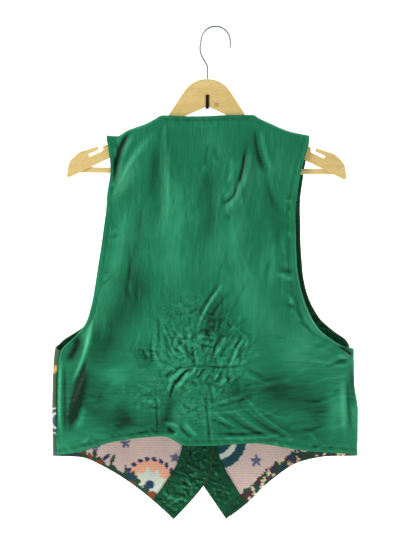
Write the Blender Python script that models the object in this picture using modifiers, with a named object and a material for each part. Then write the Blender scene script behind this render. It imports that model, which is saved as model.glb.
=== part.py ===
"""Waistcoat with a satin back and tapestry fronts, closed, on a flat wooden hanger.

Metres, +Z up. The origin is the inside of the hook's crown, where a rail carries it.
The waistcoat's back faces -Y, so X runs to the right of someone who looks at its back.
Sizes below are in millimetres and become metres where a mesh is made.
Each cloth piece lies on one ring-shaped skin, given level by level in RING. A place on
that skin is (turn, z): turn is 0 at the middle of the back or of the fronts, -1 and 1 at
the sides, and a piece that rolls past a side goes beyond them.
"""
import math
from collections import namedtuple

import bmesh
import bpy
from mathutils import Matrix, Vector

MM = 0.001
COLLECTION = "waistcoat_on_hanger"
CUTTERS = "cutters"

# Cloth and clearances
BACK_WALL = 1.2
FRONT_WALL = 2.0
FACING_WALL = 1.0
GAP = 0.3
SIDE_GAP = 0.6
UNDERARM_EASE = 1.2
EASE_FALL = 30.0
GARMENT_X = -13.2
SHOULDER_ROLL = 6.0
NECK_EASE = 8.0
BACK, FRONT = -1, 1
LEFT, RIGHT = -1, 1

# The skin: outermost x at each level, and how far it stands back and forward of the middle
Ring = namedtuple("Ring", "z left right back front")
RING = (
    Ring(-120, -330, 330, 9.0, 9.0),
    Ring(-173, -300, 300, 10.0, 10.0),
    Ring(-230, -262, 258, 15.5, 14.0),
    Ring(-300, -228, 220, 23.0, 20.0),
    Ring(-400, -216, 205, 31.0, 28.0),
    Ring(-460, -222, 212, 33.0, 32.0),
    Ring(-513, -242, 232.5, 33.0, 34.0),
    Ring(-560, -245, 233, 32.0, 34.0),
    Ring(-610, -246, 239, 31.5, 33.0),
    Ring(-681, -244.5, 238, 33.0, 31.0),
    Ring(-790, -238, 232, 30.0, 26.0),
)

# Side edges: the armholes of the back and of the fronts, then the side seams they share.
# The left seam lies rolled to the back and the right one to the front.
Sides = namedtuple("Sides", "z left right")
UNDERARM_Z = -513.4
BACK_ARMHOLES = (
    Sides(-173, -161, 163),
    Sides(-196, -157, 158),
    Sides(-228, -154, 149),
    Sides(-272, -159.5, 141.5),
    Sides(-334, -166.5, 140),
    Sides(-400, -176.5, 144.5),
    Sides(-444, -184.5, 157),
    Sides(-470, -193, 170),
    Sides(-482, -201, 179),
    Sides(-494, -213, 194),
    Sides(-506, -226, 214),
)
FRONT_ARMHOLES = (
    Sides(-173, -161, 163),
    Sides(-216, -152, 156),
    Sides(-256, -153, 150),
    Sides(-305, -158, 148),
    Sides(-338, -162.5, 148.5),
    Sides(-372, -168, 150.5),
    Sides(-400, -173, 153.5),
    Sides(-433, -179, 162.5),
    Sides(-462, -188, 178.5),
    Sides(-474, -195.5, 190.5),
    Sides(-486, -212, 205.5),
    Sides(-497, -229, 220.5),
    Sides(-505, -237, 225),
)
SIDE_SEAMS = (
    Sides(UNDERARM_Z, -232, 227),
    Sides(-545, -238, 228),
    Sides(-600, -239.5, 233.5),
    Sides(-681, -238.5, 232.5),
)

# Level edges: x, z and the share of the panel's columns that lie before the row
Point = namedtuple("Point", "share x z")
BACK_TOP = (
    Point(0.00, -161, -172.5),
    Point(0.10, -128, -163.2),
    Point(0.20, -97, -153.0),
    Point(0.25, -84, -146.0),
    Point(0.30, -71.5, -140.2),
    Point(0.38, -35, -141.6),
    Point(0.50, -3, -141.4),
    Point(0.62, 35, -139.6),
    Point(0.70, 72, -139.6),
    Point(0.75, 84, -145.6),
    Point(0.80, 101, -153.4),
    Point(0.90, 130, -165.6),
    Point(1.00, 163, -172.8),
)
BACK_HEM = (
    Point(0.00, -238.5, -680.0),
    Point(0.14, -199, -673.0),
    Point(0.26, -145, -657.0),
    Point(0.40, -70, -649.0),
    Point(0.46, -32, -664.0),
    Point(0.53, 8, -663.5),
    Point(0.64, 72, -660.0),
    Point(0.78, 145, -670.5),
    Point(1.00, 237.0, -681.5),
)
SHOULDER_SHARES = (0.30, 0.70)
LEFT_LOWER_EDGE = (
    Point(0.00, -238.5, -680.0),
    Point(0.22, -199, -684.5),
    Point(0.40, -162, -701.0),
    Point(0.62, -115, -731.0),
    Point(0.82, -75, -764.0),
    Point(1.00, -53.5, -783.5),
)
RIGHT_LOWER_EDGE = (
    Point(0.00, 232.5, -681.5),
    Point(0.22, 194, -682.5),
    Point(0.40, 150, -691.0),
    Point(0.62, 102, -721.0),
    Point(0.82, 60, -761.0),
    Point(1.00, 30.0, -783.5),
)

Turn = namedtuple("Turn", "z turn")

# Neck opening and closing edge of each front, from the neck point to the point of the hem
Closing = namedtuple("Closing", "z left right")
CLOSING = (
    Closing(-140.2, -71.5, 72),
    Closing(-190, -59, 60),
    Closing(-260, -40, 40),
    Closing(-330, -15, 13),
    Closing(-385, 4, -16),
    Closing(-412, 10, -28),
    Closing(-540, 10, -28),
    Closing(-666, 10, -28),
    Closing(-692, 8.5, -24),
    Closing(-716, 1.5, -15),
    Closing(-731, -7, -6),
    Closing(-753, -25, 9),
    Closing(-783.5, -53.5, 30),
)
OVERLAP_X = (-70, -52)

# Large folds. A fold runs from (x0, z0) to (x1, z1), bows sideways, and stands out by height.
# Its ends rise and fall over these shares of its length, and all folds fade at the shoulder
# (a share of the panel's height) and at the sides (by the cosine of the turn).
FOLD_RISE = (-0.1, 0.3)
FOLD_FALL = (0.7, 1.1)
SHOULDER_FADE = 0.08
SIDE_FADE = (0.1, 0.5)
Fold = namedtuple("Fold", "x0 z0 x1 z1 bow width height")
BACK_FOLDS = (
    Fold(-124, -196, -148, -262, 6, 15, -4.0),
    Fold(-90, -216, -148, -297, 4, 15, 3.5),
    Fold(-77, -185, -73, -318, 0, 11, -4.0),
    Fold(-60, -190, -58, -300, 0, 10, 2.5),
    Fold(-97, -258, -212, -590, 22, 24, -4.5),
    Fold(-182, -470, -222, -620, -10, 11, 6.5),
    Fold(2, -212, 2, -395, 0, 17, -4.0),
    Fold(66, -200, 26, -312, -10, 10, 4.5),
    Fold(76, -190, 120, -326, 8, 14, -4.5),
    Fold(26, -440, -16, -512, 6, 9, 4.0),
    Fold(-22, -566, -60, -622, 14, 12, -6.0),
    Fold(-120, -520, -60, -560, 6, 14, 3.5),
    Fold(-80, -650, -44, -590, 4, 12, -5.0),
    Fold(38, -560, 118, -660, 6, 14, 3.5),
    Fold(150, -500, 178, -640, 0, 22, -3.5),
)
FRONT_FOLDS = (
    Fold(-120, -250, -175, -400, 6, 20, -3.5),
    Fold(-150, -480, -120, -690, 8, 26, 4.5),
    Fold(-205, -520, -195, -660, 4, 18, -4.0),
    Fold(115, -250, 150, -400, -6, 20, -3.5),
    Fold(140, -480, 110, -690, -8, 26, 4.5),
    Fold(200, -520, 185, -660, -4, 18, -4.0),
)

# How fast a side edge's curve fades into its panel, and the share of a lower edge that turns
# to meet the side seam
SIDE_REACH, CLOSING_REACH = 3, 1
CORNER_SHARE = 0.2
NORMAL_STEP = 0.004

# Grids: columns across a piece and rows down it, after the rows that roll over the shoulder
ROLL_ANGLES = (0, 22, 46, 68)
BACK_COLUMNS, BACK_ROWS = 40, 27
FRONT_COLUMNS, FRONT_ROWS = 16, 30

# Facings: the columns and rows of a front's grid that they cover, column 0 at its side
FACING_INSET = 0.8
FACING_GAP = 0.6
CLOSING_COLUMNS = {"left": (FRONT_COLUMNS - 4, FRONT_COLUMNS), "right": (FRONT_COLUMNS - 3, FRONT_COLUMNS)}
CLOSING_ROWS = (1, FRONT_ROWS)
ARMHOLE_FACING = ((0, 2), (1, 19))

# Buttons
BUTTON_COUNT = 5
BUTTON_TOP_Z = -424.0
BUTTON_PITCH = 56.0
BUTTON_X = -9.0
BUTTON_SIDES = 20
BUTTON_SLOPE_REACH = 2.0
Profile = namedtuple("Profile", "radius height")
BUTTON_PROFILE = (
    Profile(0.0, 1.9),
    Profile(5.3, 1.9),
    Profile(6.1, 2.6),
    Profile(7.0, 2.6),
    Profile(7.5, 2.0),
    Profile(7.5, 0.8),
    Profile(6.3, 0.0),
    Profile(0.0, 0.0),
)

# Hanger
HANGER_X = -12.4
HANGER_THICKNESS = 11.0
HANGER_LEAN = math.radians(0.45)
RIM_BEVEL = 1.2
RIM_SEGMENTS = 2
RIM_ANGLE = math.radians(60)
ARC_STEP = math.radians(15)
ARC_SHARE = 0.48
WELD = 0.00001
Corner = namedtuple("Corner", "x z radius")
HANGER_HALF = (
    Corner(23.5, -82.0, 42),
    Corner(62.4, -141.4, 6),
    Corner(158.0, -188.0, 1.5),
    Corner(165.2, -189.2, 1.5),
    Corner(165.2, -197.6, 1.0),
    Corner(186.4, -207.4, 1.5),
    Corner(188.0, -203.2, 1.5),
    Corner(171.8, -196.2, 1.2),
    Corner(173.2, -190.8, 1.5),
    Corner(204.0, -200.2, 22),
    Corner(219.0, -216.0, 14),
    Corner(222.8, -239.4, 2.0),
    Corner(218.2, -240.6, 2.0),
    Corner(159.0, -211.5, 30),
    Corner(33.0, -140.5, 40),
)
NOTCH_APEX = Corner(0.0, -126.3, 5)
BAR_TOP_Z, BAR_BOTTOM_Z = -223.8, -233.0
BAR_THICKNESS = 9.0
BAR_BEVEL = 2.5

# Hook
WIRE = 3.4
WIRE_RESOLUTION = 2
SEAT_SIDES = 12
CROWN_RADIUS = 23.3
HOOK_SEAT_Z = -97.0
SEAT_TOP_Z = -80.0
HOOK_STEP = math.radians(15)
Place = namedtuple("Place", "x z")
HOOK_TIP = (Place(22.6, -33.0), Place(23.6, -28.0))
HOOK_SHANK = (
    Place(-24.6, -32.0),
    Place(-24.2, -40.0),
    Place(-21.0, -47.5),
    Place(-16.6, -54.5),
    Place(-12.8, -61.5),
    Place(HANGER_X, -69.0),
    Place(HANGER_X, -80.0),
    Place(HANGER_X, HOOK_SEAT_Z),
)

# Clip under the crest
CLIP_THICKNESS = 1.0
CLIP_WIDTH = 5.4
CLIP_TOP_Z = -107.4
CLIP_WING = 9.0
CLIP_DROP = 2.6


def start():
    """Empty the scene and give the collections for the parts and the cutters."""
    for thing in list(bpy.data.objects):
        bpy.data.objects.remove(thing, do_unlink=True)
    made = []
    for name in (COLLECTION, CUTTERS):
        collection = bpy.data.collections.new(name)
        bpy.context.scene.collection.children.link(collection)
        made.append(collection)
    return made


def material(name, colour, roughness, metallic=0.0):
    """A plain Principled material from a colour written as sRGB shares."""
    made = bpy.data.materials.new(name)
    made.use_nodes = True
    shader = made.node_tree.nodes["Principled BSDF"]
    linear = [(c / 12.92 if c <= 0.04045 else ((c + 0.055) / 1.055) ** 2.4) for c in colour]
    shader.inputs["Base Color"].default_value = (*linear, 1.0)
    shader.inputs["Roughness"].default_value = roughness
    shader.inputs["Metallic"].default_value = metallic
    return made


def blend(value, low, high):
    """0 below low, 1 above high, and a soft step between."""
    t = min(max((value - low) / (high - low), 0.0), 1.0)
    return t * t * (3 - 2 * t)


def along(rows, key, at, column):
    """Read a column of a table at a value of its key column, on a curve without overshoot."""
    keys = [getattr(row, key) for row in rows]
    values = [getattr(row, column) for row in rows]
    if keys[0] > keys[-1]:
        keys.reverse()
        values.reverse()
    at = min(max(at, keys[0]), keys[-1])
    i = max(k for k in range(len(keys) - 1) if keys[k] <= at)
    slopes = [(values[k + 1] - values[k]) / (keys[k + 1] - keys[k]) for k in range(len(keys) - 1)]

    def tangent(k):
        if k == 0:
            return slopes[0]
        if k == len(slopes):
            return slopes[-1]
        before, after = slopes[k - 1], slopes[k]
        return 0.0 if before * after <= 0 else 2 * before * after / (before + after)

    span = keys[i + 1] - keys[i]
    t = (at - keys[i]) / span
    return (
        values[i] * (1 + 2 * t) * (1 - t) ** 2
        + values[i + 1] * t * t * (3 - 2 * t)
        + span * tangent(i) * t * (1 - t) ** 2
        - span * tangent(i + 1) * t * t * (1 - t)
    )


def ring_size(z):
    """Middle x and half width of the skin at a level."""
    left = along(RING, "z", z, "left")
    right = along(RING, "z", z, "right")
    return (left + right) / 2, (right - left) / 2


def turn_at(x, z):
    """How far round the skin a place at x lies."""
    middle, half = ring_size(z)
    return math.asin(max(-1.0, min(1.0, (x - middle) / half))) * 2 / math.pi


def turn_of_gap(turn, z):
    """The turn that a side seam's gap takes, wider just under the arm where it folds."""
    gap = SIDE_GAP + UNDERARM_EASE * (1 - blend(UNDERARM_Z - z, 0, EASE_FALL))
    half = ring_size(z)[1]
    depth = along(RING, "z", z, "back")
    angle = turn * math.pi / 2
    return gap / (math.hypot(half * math.cos(angle), depth * math.sin(angle)) * math.pi / 2)


def fold_height(folds, x, z):
    """How far the folds lift the cloth at a place."""
    height = 0.0
    for fold in folds:
        dx, dz = fold.x1 - fold.x0, fold.z1 - fold.z0
        length = math.hypot(dx, dz)
        t = ((x - fold.x0) * dx + (z - fold.z0) * dz) / length ** 2
        if not FOLD_RISE[0] < t < FOLD_FALL[1]:
            continue
        aside = ((x - fold.x0) * dz - (z - fold.z0) * dx) / length - fold.bow * 4 * t * (1 - t)
        ends = blend(t, *FOLD_RISE) * (1 - blend(t, *FOLD_FALL))
        height += fold.height * ends * math.exp(-((aside / fold.width) ** 2))
    return height


class Panel:
    """A piece of cloth stretched between four edges on the skin.

    u runs across it and v down it. The edges give (turn, z) for a share of their length.
    facing is 1 where across times down points away from the body, and -1 where it points in.
    reach says how fast the curve of the start and end edges fades into the panel.
    """

    def __init__(self, side, facing, top, bottom, start, end, reach, shoulder, folds, step=None):
        self.side = side
        self.facing = facing
        self.reach = reach
        self.top, self.bottom, self.start, self.end = top, bottom, start, end
        self.shoulder = shoulder
        self.folds = folds
        self.step = step

    def place(self, u, v):
        """Turn and z inside the four edges, each edge blended into the middle."""
        near, far = self.top(u), self.bottom(u)
        first, last = self.start(v), self.end(v)
        corners = (self.top(0), self.top(1), self.bottom(0), self.bottom(1))
        weights = ((1 - u) ** self.reach[0], u ** self.reach[1])
        found = []
        for axis in (0, 1):
            straight = [corners[k][axis] * (1 - v) + corners[k + 2][axis] * v for k in (0, 1)]
            found.append(
                (1 - v) * near[axis] + v * far[axis]
                + weights[0] * (first[axis] - straight[0])
                + weights[1] * (last[axis] - straight[1])
            )
        return found

    def on_skin(self, turn, z, lift=1.0):
        """The point of the skin at a turn and level, folds included."""
        middle, half = ring_size(z)
        angle = turn * math.pi / 2
        x = middle + half * math.sin(angle)
        column = "back" if self.side * math.cos(angle) < 0 else "front"
        depth = along(RING, "z", z, column) * math.cos(angle)
        depth += fold_height(self.folds, x, z) * lift * blend(math.cos(angle), *SIDE_FADE)
        if self.step:
            depth -= self.step(x)
        return Vector((x, self.side * depth, z))

    def point(self, u, v, roll=90.0):
        """A point of the panel's middle surface. Below 90, roll turns it over the shoulder."""
        turn, z = self.place(u, v)
        if roll >= 90:
            return self.on_skin(turn, z, blend(v, 0.0, SHOULDER_FADE))
        found = self.on_skin(turn, z, 0.0)
        found.z += SHOULDER_ROLL * math.cos(math.radians(roll))
        rolled = 1 - self.shoulder(u) * (1 - math.sin(math.radians(roll)))
        found.y = self.side * (abs(found.y) * rolled + GAP / 2)
        return found

    def outward(self, u, v):
        """The unit normal that points away from the body's middle."""
        d = NORMAL_STEP
        across = self.point(min(u + d, 1), v) - self.point(max(u - d, 0), v)
        down = self.point(u, min(v + d, 1)) - self.point(u, max(v - d, 0))
        return across.cross(down).normalized() * self.facing


def edge_of_points(rows, lower=0.0):
    """An edge function from a table of points, lowered where the shoulder roll is above it."""
    def edge(share):
        x = along(rows, "share", share, "x")
        z = along(rows, "share", share, "z") - lower
        return turn_at(x, z), z
    return edge


def edge_of_turns(turn, top_z, bottom_z):
    """An edge function down a side, from a function of z that gives its turn."""
    def edge(share):
        z = top_z + share * (bottom_z - top_z)
        return turn(z), z
    return edge


def turns_of(rows, column):
    """A function of z that reads a side's table as turns."""
    turned = [Turn(row.z, turn_at(getattr(row, column), row.z)) for row in rows]
    return lambda z: along(turned, "z", z, "turn")


def seam_turn(hand, z):
    """The back's turn at a side seam, past the side on the right, short of it on the left."""
    x = along(SIDE_SEAMS, "z", z, "left" if hand == LEFT else "right")
    turn = turn_at(x, z)
    return turn if hand == LEFT else 2 - turn


def side_edge(side, hand):
    """A panel's outer edge as a function of z: its armhole, then its side seam."""
    def seam(z):
        turn = seam_turn(hand, z)
        return turn if side == BACK else 2 * hand - turn - hand * turn_of_gap(turn, z)

    armholes = BACK_ARMHOLES if side == BACK else FRONT_ARMHOLES
    column = "left" if hand == LEFT else "right"
    rows = [Turn(row.z, turn_at(getattr(row, column), row.z)) for row in armholes]
    rows.append(Turn(UNDERARM_Z, seam(UNDERARM_Z)))
    return lambda z: along(rows, "z", z, "turn") if z > UNDERARM_Z else seam(z)


def meet_corner(bottom, outer):
    """A lower edge whose side corner is turned to where the side seam ends."""
    def edge(share):
        turn, z = bottom(share)
        corner = outer(bottom(0)[1]) - bottom(0)[0]
        return turn + corner * (1 - blend(share, 0.0, CORNER_SHARE)), z
    return edge


def back_panel():
    """The back, from shoulder seams and neck to the hem."""
    low, high = SHOULDER_SHARES
    ease = NECK_EASE / (BACK_TOP[-1].x - BACK_TOP[0].x)

    def shoulder(u):
        return 1 - blend(u, low, low + ease) + blend(u, high - ease, high)

    top = edge_of_points(BACK_TOP, SHOULDER_ROLL)
    hem = edge_of_points(BACK_HEM)
    left, right = side_edge(BACK, LEFT), side_edge(BACK, RIGHT)

    def bottom(share):
        turn, z = meet_corner(hem, left)(share)
        past = right(hem(1)[1]) - hem(1)[0]
        return turn + past * blend(share, 1.0 - CORNER_SHARE, 1.0), z

    return Panel(
        BACK, -1, top, bottom,
        edge_of_turns(left, top(0)[1], bottom(0)[1]),
        edge_of_turns(right, top(1)[1], bottom(1)[1]),
        (SIDE_REACH, SIDE_REACH), shoulder, BACK_FOLDS,
    )


def front_panel(hand):
    """One front, from its side (u = 0) to its closing edge (u = 1)."""
    column = "left" if hand == LEFT else "right"
    low, high = SHOULDER_SHARES

    def shoulder_edge(share):
        at = low * share if hand == LEFT else 1 - (1 - high) * share
        x = along(BACK_TOP, "share", at, "x")
        z = along(BACK_TOP, "share", at, "z") - SHOULDER_ROLL
        return turn_at(x, z), z

    def under_step(x):
        return (FRONT_WALL + FACING_WALL + 2 * FACING_GAP) * blend(x, *OVERLAP_X)

    bottom = edge_of_points(LEFT_LOWER_EDGE if hand == LEFT else RIGHT_LOWER_EDGE)
    outer = side_edge(FRONT, hand)

    return Panel(
        FRONT, -hand, shoulder_edge, meet_corner(bottom, outer),
        edge_of_turns(outer, shoulder_edge(0)[1], bottom(0)[1]),
        edge_of_turns(turns_of(CLOSING, column), shoulder_edge(1)[1], bottom(1)[1]),
        (SIDE_REACH, CLOSING_REACH), lambda u: 1.0, FRONT_FOLDS,
        under_step if hand == LEFT else None,
    )


def finish_sheet(name, collection, look, columns, rows, locate, wall):
    """Bend a grid to the points that locate gives for its columns and rows, and thicken it."""
    mesh = bpy.data.meshes.new(name)
    bm = bmesh.new()
    bmesh.ops.create_grid(bm, x_segments=columns, y_segments=rows, size=0.5)
    for vert in bm.verts:
        u, down = vert.co.x + 0.5, 0.5 - vert.co.y
        vert.co = (locate(u, down) + Vector((GARMENT_X, 0, 0))) * MM
    bmesh.ops.recalc_face_normals(bm, faces=bm.faces)
    bm.to_mesh(mesh)
    bm.free()
    mesh.materials.append(look)
    mesh.shade_smooth()
    sheet = bpy.data.objects.new(name, mesh)
    collection.objects.link(sheet)
    wall_of = sheet.modifiers.new("wall", "SOLIDIFY")
    wall_of.thickness = wall * MM
    wall_of.offset = 0.0
    return sheet


def cloth_panel(name, collection, look, panel, columns, rows, wall):
    """A whole panel: the rows that roll over the shoulder, then the rows down to its hem."""
    rolled = len(ROLL_ANGLES)
    total = rolled + rows

    def locate(u, down):
        row = round(down * total)
        if row < rolled:
            return panel.point(u, 0.0, ROLL_ANGLES[row])
        return panel.point(u, (row - rolled) / rows)

    return finish_sheet(name, collection, look, columns, total, locate, wall)


def strip(name, collection, look, panel, columns, rows):
    """A facing inside a front, made from some columns and rows of the front's own grid."""
    inside = -(FRONT_WALL / 2 + FACING_GAP + FACING_WALL / 2)
    across, down = columns[1] - columns[0], rows[1] - rows[0]

    def node(column, row):
        u, v = column / FRONT_COLUMNS, row / FRONT_ROWS
        return panel.point(u, v) + panel.outward(u, v) * inside

    def locate(share, fall):
        column = columns[0] + round(share * across)
        row = rows[0] + round(fall * down)
        if column not in (0, FRONT_COLUMNS):
            return node(column, row)
        edge = node(column, row)
        inner = node(column + (1 if column == 0 else -1), row)
        return edge + (inner - edge).normalized() * FACING_INSET

    return finish_sheet(name, collection, look, across, down, locate, FACING_WALL)


def rounded(corners):
    """A closed outline whose corners are arcs of the radii in its table."""
    points = []
    count = len(corners)
    for i, corner in enumerate(corners):
        here = Vector((corner.x, corner.z))
        before = Vector((corners[i - 1].x, corners[i - 1].z)) - here
        after = Vector((corners[(i + 1) % count].x, corners[(i + 1) % count].z)) - here
        angle = before.angle(after)
        reach = corner.radius / math.tan(angle / 2)
        reach = min(reach, ARC_SHARE * before.length, ARC_SHARE * after.length)
        radius = reach * math.tan(angle / 2)
        first = here + before.normalized() * reach
        last = here + after.normalized() * reach
        middle = here + (before.normalized() + after.normalized()).normalized() * (
            radius / math.sin(angle / 2)
        )
        steps = max(1, math.ceil((math.pi - angle) / ARC_STEP))
        a, b = first - middle, last - middle
        sweep = a.angle_signed(b)
        for k in range(steps + 1):
            turned = Matrix.Rotation(-sweep * k / steps, 2) @ a
            points.append(middle + turned)
    return points


def plate(name, outline, thickness, look, collection, bevel):
    """A flat board in the XZ plane from an outline, with softened rims, as a mesh object."""
    curve = bpy.data.curves.new(name + "_outline", "CURVE")
    curve.dimensions = "2D"
    curve.fill_mode = "BOTH"
    curve.extrude = thickness * MM / 2
    spline = curve.splines.new("POLY")
    spline.points.add(len(outline) - 1)
    for point, place in zip(spline.points, outline):
        point.co = (place.x * MM, place.y * MM, 0, 1)
    spline.use_cyclic_u = True
    drawn = bpy.data.objects.new(name + "_outline", curve)
    collection.objects.link(drawn)
    drawn.rotation_euler = (math.pi / 2, 0, 0)
    made = as_mesh(drawn, name, collection)
    made.data.materials.append(look)
    rim = made.modifiers.new("rim", "BEVEL")
    rim.width = bevel * MM
    rim.segments = RIM_SEGMENTS
    rim.limit_method = "ANGLE"
    rim.angle_limit = RIM_ANGLE
    return made


def as_mesh(drawn, name, collection):
    """Turn a curve object into a closed mesh object in the same place."""
    bpy.context.view_layer.update()
    depsgraph = bpy.context.evaluated_depsgraph_get()
    mesh = bpy.data.meshes.new_from_object(drawn.evaluated_get(depsgraph))
    mesh.name = name
    mesh.transform(drawn.matrix_world)
    bm = bmesh.new()
    bm.from_mesh(mesh)
    bmesh.ops.remove_doubles(bm, verts=bm.verts, dist=WELD)
    bmesh.ops.recalc_face_normals(bm, faces=bm.faces)
    bm.to_mesh(mesh)
    bm.free()
    mesh.materials.clear()
    made = bpy.data.objects.new(name, mesh)
    collection.objects.link(made)
    bpy.data.objects.remove(drawn, do_unlink=True)
    return made


def cut(target, cutter):
    """Cut a target with a closed cutter, which stays as a hidden guide."""
    cutter.hide_render = True
    cutter.display_type = "WIRE"
    hole = target.modifiers.new("cut_" + cutter.name, "BOOLEAN")
    hole.operation = "DIFFERENCE"
    hole.solver = "EXACT"
    hole.object = cutter


def hanger_outline():
    """The board's whole outline, from its right half and the same half mirrored."""
    right = list(HANGER_HALF)
    left = [Corner(-c.x, c.z, c.radius) for c in reversed(HANGER_HALF)]
    return [
        Vector((p.x + HANGER_X, p.y)) for p in rounded(right + [NOTCH_APEX] + left)
    ]


def arm_underside_x(z):
    """x, from the hanger's middle, where an arm's lower edge is at a level."""
    outer, inner = HANGER_HALF[-3], HANGER_HALF[-2]
    share = (z - inner.z) / (outer.z - inner.z)
    return inner.x + share * (outer.x - inner.x)


def build_hanger(collection, cutters, wood, steel, black):
    """Board, bar, hook and clip."""
    board = plate("hanger_body", hanger_outline(), HANGER_THICKNESS, wood, collection, RIM_BEVEL)
    bpy.ops.mesh.primitive_cylinder_add(
        vertices=SEAT_SIDES, radius=(WIRE / 2 + GAP) * MM, depth=(SEAT_TOP_Z - HOOK_SEAT_Z + GAP) * MM,
        location=(HANGER_X * MM, 0, (SEAT_TOP_Z + HOOK_SEAT_Z - GAP) / 2 * MM),
    )
    seat = bpy.context.object
    seat.name = "hook_seat"
    for old in list(seat.users_collection):
        old.objects.unlink(seat)
    cutters.objects.link(seat)
    cut(board, seat)

    slant = math.hypot(1, (arm_underside_x(BAR_TOP_Z) - arm_underside_x(BAR_BOTTOM_Z))
                       / (BAR_TOP_Z - BAR_BOTTOM_Z))
    top_x = arm_underside_x(BAR_TOP_Z) - GAP * slant
    bottom_x = arm_underside_x(BAR_BOTTOM_Z) - GAP * slant
    corners = ((-top_x, BAR_TOP_Z), (top_x, BAR_TOP_Z), (bottom_x, BAR_BOTTOM_Z),
               (-bottom_x, BAR_BOTTOM_Z))
    outline = [Vector((x + HANGER_X, z)) for x, z in corners]
    bar = plate("hanger_bar", outline, BAR_THICKNESS, wood, collection, BAR_BEVEL)

    hook = build_hook(collection, steel)
    clip = build_clip(collection, black)
    lean = bpy.data.objects.new("hanger_lean", None)
    collection.objects.link(lean)
    for piece in (board, seat, bar, hook, clip):
        piece.parent = lean
    lean.rotation_euler = (0, HANGER_LEAN, 0)


def hook_route():
    """The wire's middle line: the tip, round the crown, and down the shank into the crest."""
    crown_z = WIRE / 2 - CROWN_RADIUS
    steps = round(math.pi / HOOK_STEP)
    crown = [
        Place(CROWN_RADIUS * math.cos(k * HOOK_STEP), crown_z + CROWN_RADIUS * math.sin(k * HOOK_STEP))
        for k in range(steps + 1)
    ]
    return list(HOOK_TIP) + crown + list(HOOK_SHANK)


def build_hook(collection, look):
    """The hook: a round wire along its route, cut flat at both ends."""
    curve = bpy.data.curves.new("hook_wire", "CURVE")
    curve.dimensions = "3D"
    curve.bevel_depth = WIRE / 2 * MM
    curve.bevel_resolution = WIRE_RESOLUTION
    curve.use_fill_caps = True
    spline = curve.splines.new("POLY")
    route = hook_route()
    spline.points.add(len(route) - 1)
    for point, place in zip(spline.points, route):
        point.co = (place.x * MM, 0, place.z * MM, 1)
    drawn = bpy.data.objects.new("hook_wire", curve)
    collection.objects.link(drawn)
    hook = as_mesh(drawn, "hook", collection)
    hook.data.materials.append(look)
    hook.data.shade_smooth()
    return hook


def build_clip(collection, look):
    """A strap down the crest's face, with a wing to each side below the notch in the arms."""
    face = -HANGER_THICKNESS / 2 - GAP
    fall = (NOTCH_APEX.z - HANGER_HALF[-1].z) / HANGER_HALF[-1].x
    below = NOTCH_APEX.z - CLIP_DROP
    top = CLIP_TOP_Z
    half = CLIP_WIDTH / 2
    outline = (
        (-half, top), (half, top), (half, below - half * fall),
        (CLIP_WING, below - CLIP_WING * fall),
        (CLIP_WING, below - CLIP_WING * fall - CLIP_THICKNESS),
        (0, below - CLIP_THICKNESS),
        (-CLIP_WING, below - CLIP_WING * fall - CLIP_THICKNESS),
        (-CLIP_WING, below - CLIP_WING * fall),
        (-half, below - half * fall),
    )
    mesh = bpy.data.meshes.new("hook_clip")
    bm = bmesh.new()
    verts = [bm.verts.new(((x + HANGER_X) * MM, face * MM, z * MM)) for x, z in outline]
    front = bm.faces.new(verts)
    grown = bmesh.ops.extrude_face_region(bm, geom=[front])
    moved = [item for item in grown["geom"] if isinstance(item, bmesh.types.BMVert)]
    bmesh.ops.translate(bm, verts=moved, vec=(0, -CLIP_THICKNESS * MM, 0))
    bmesh.ops.recalc_face_normals(bm, faces=bm.faces)
    bm.to_mesh(mesh)
    bm.free()
    mesh.materials.append(look)
    clip = bpy.data.objects.new("hook_clip", mesh)
    collection.objects.link(clip)
    return clip


def build_button(number, collection, look, front):
    """A round button on the outside of the fronts, square to the cloth under it."""
    z = BUTTON_TOP_Z - (number - 1) * BUTTON_PITCH
    reach = BUTTON_SLOPE_REACH

    def skin(x, level):
        return front.on_skin(turn_at(x, level), level)

    centre = skin(BUTTON_X, z)
    across = skin(BUTTON_X + reach, z) - skin(BUTTON_X - reach, z)
    down = skin(BUTTON_X, z - reach) - skin(BUTTON_X, z + reach)
    normal = across.cross(down).normalized()
    if normal.y < 0:
        normal.negate()
    seat = centre + normal * (FRONT_WALL / 2 + GAP) + Vector((GARMENT_X, 0, 0))

    mesh = bpy.data.meshes.new(f"button_{number}")
    bm = bmesh.new()
    verts = [bm.verts.new((row.radius * MM, 0, row.height * MM)) for row in BUTTON_PROFILE]
    for first, second in zip(verts, verts[1:]):
        bm.edges.new((first, second))
    bm.to_mesh(mesh)
    bm.free()
    mesh.materials.append(look)
    button = bpy.data.objects.new(f"button_{number}", mesh)
    collection.objects.link(button)
    turned = button.modifiers.new("turned", "SCREW")
    turned.steps = turned.render_steps = BUTTON_SIDES
    turned.use_merge_vertices = True
    turned.merge_threshold = WELD
    button.location = seat * MM
    button.rotation_euler = Vector((0, 0, 1)).rotation_difference(normal).to_euler()


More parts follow.
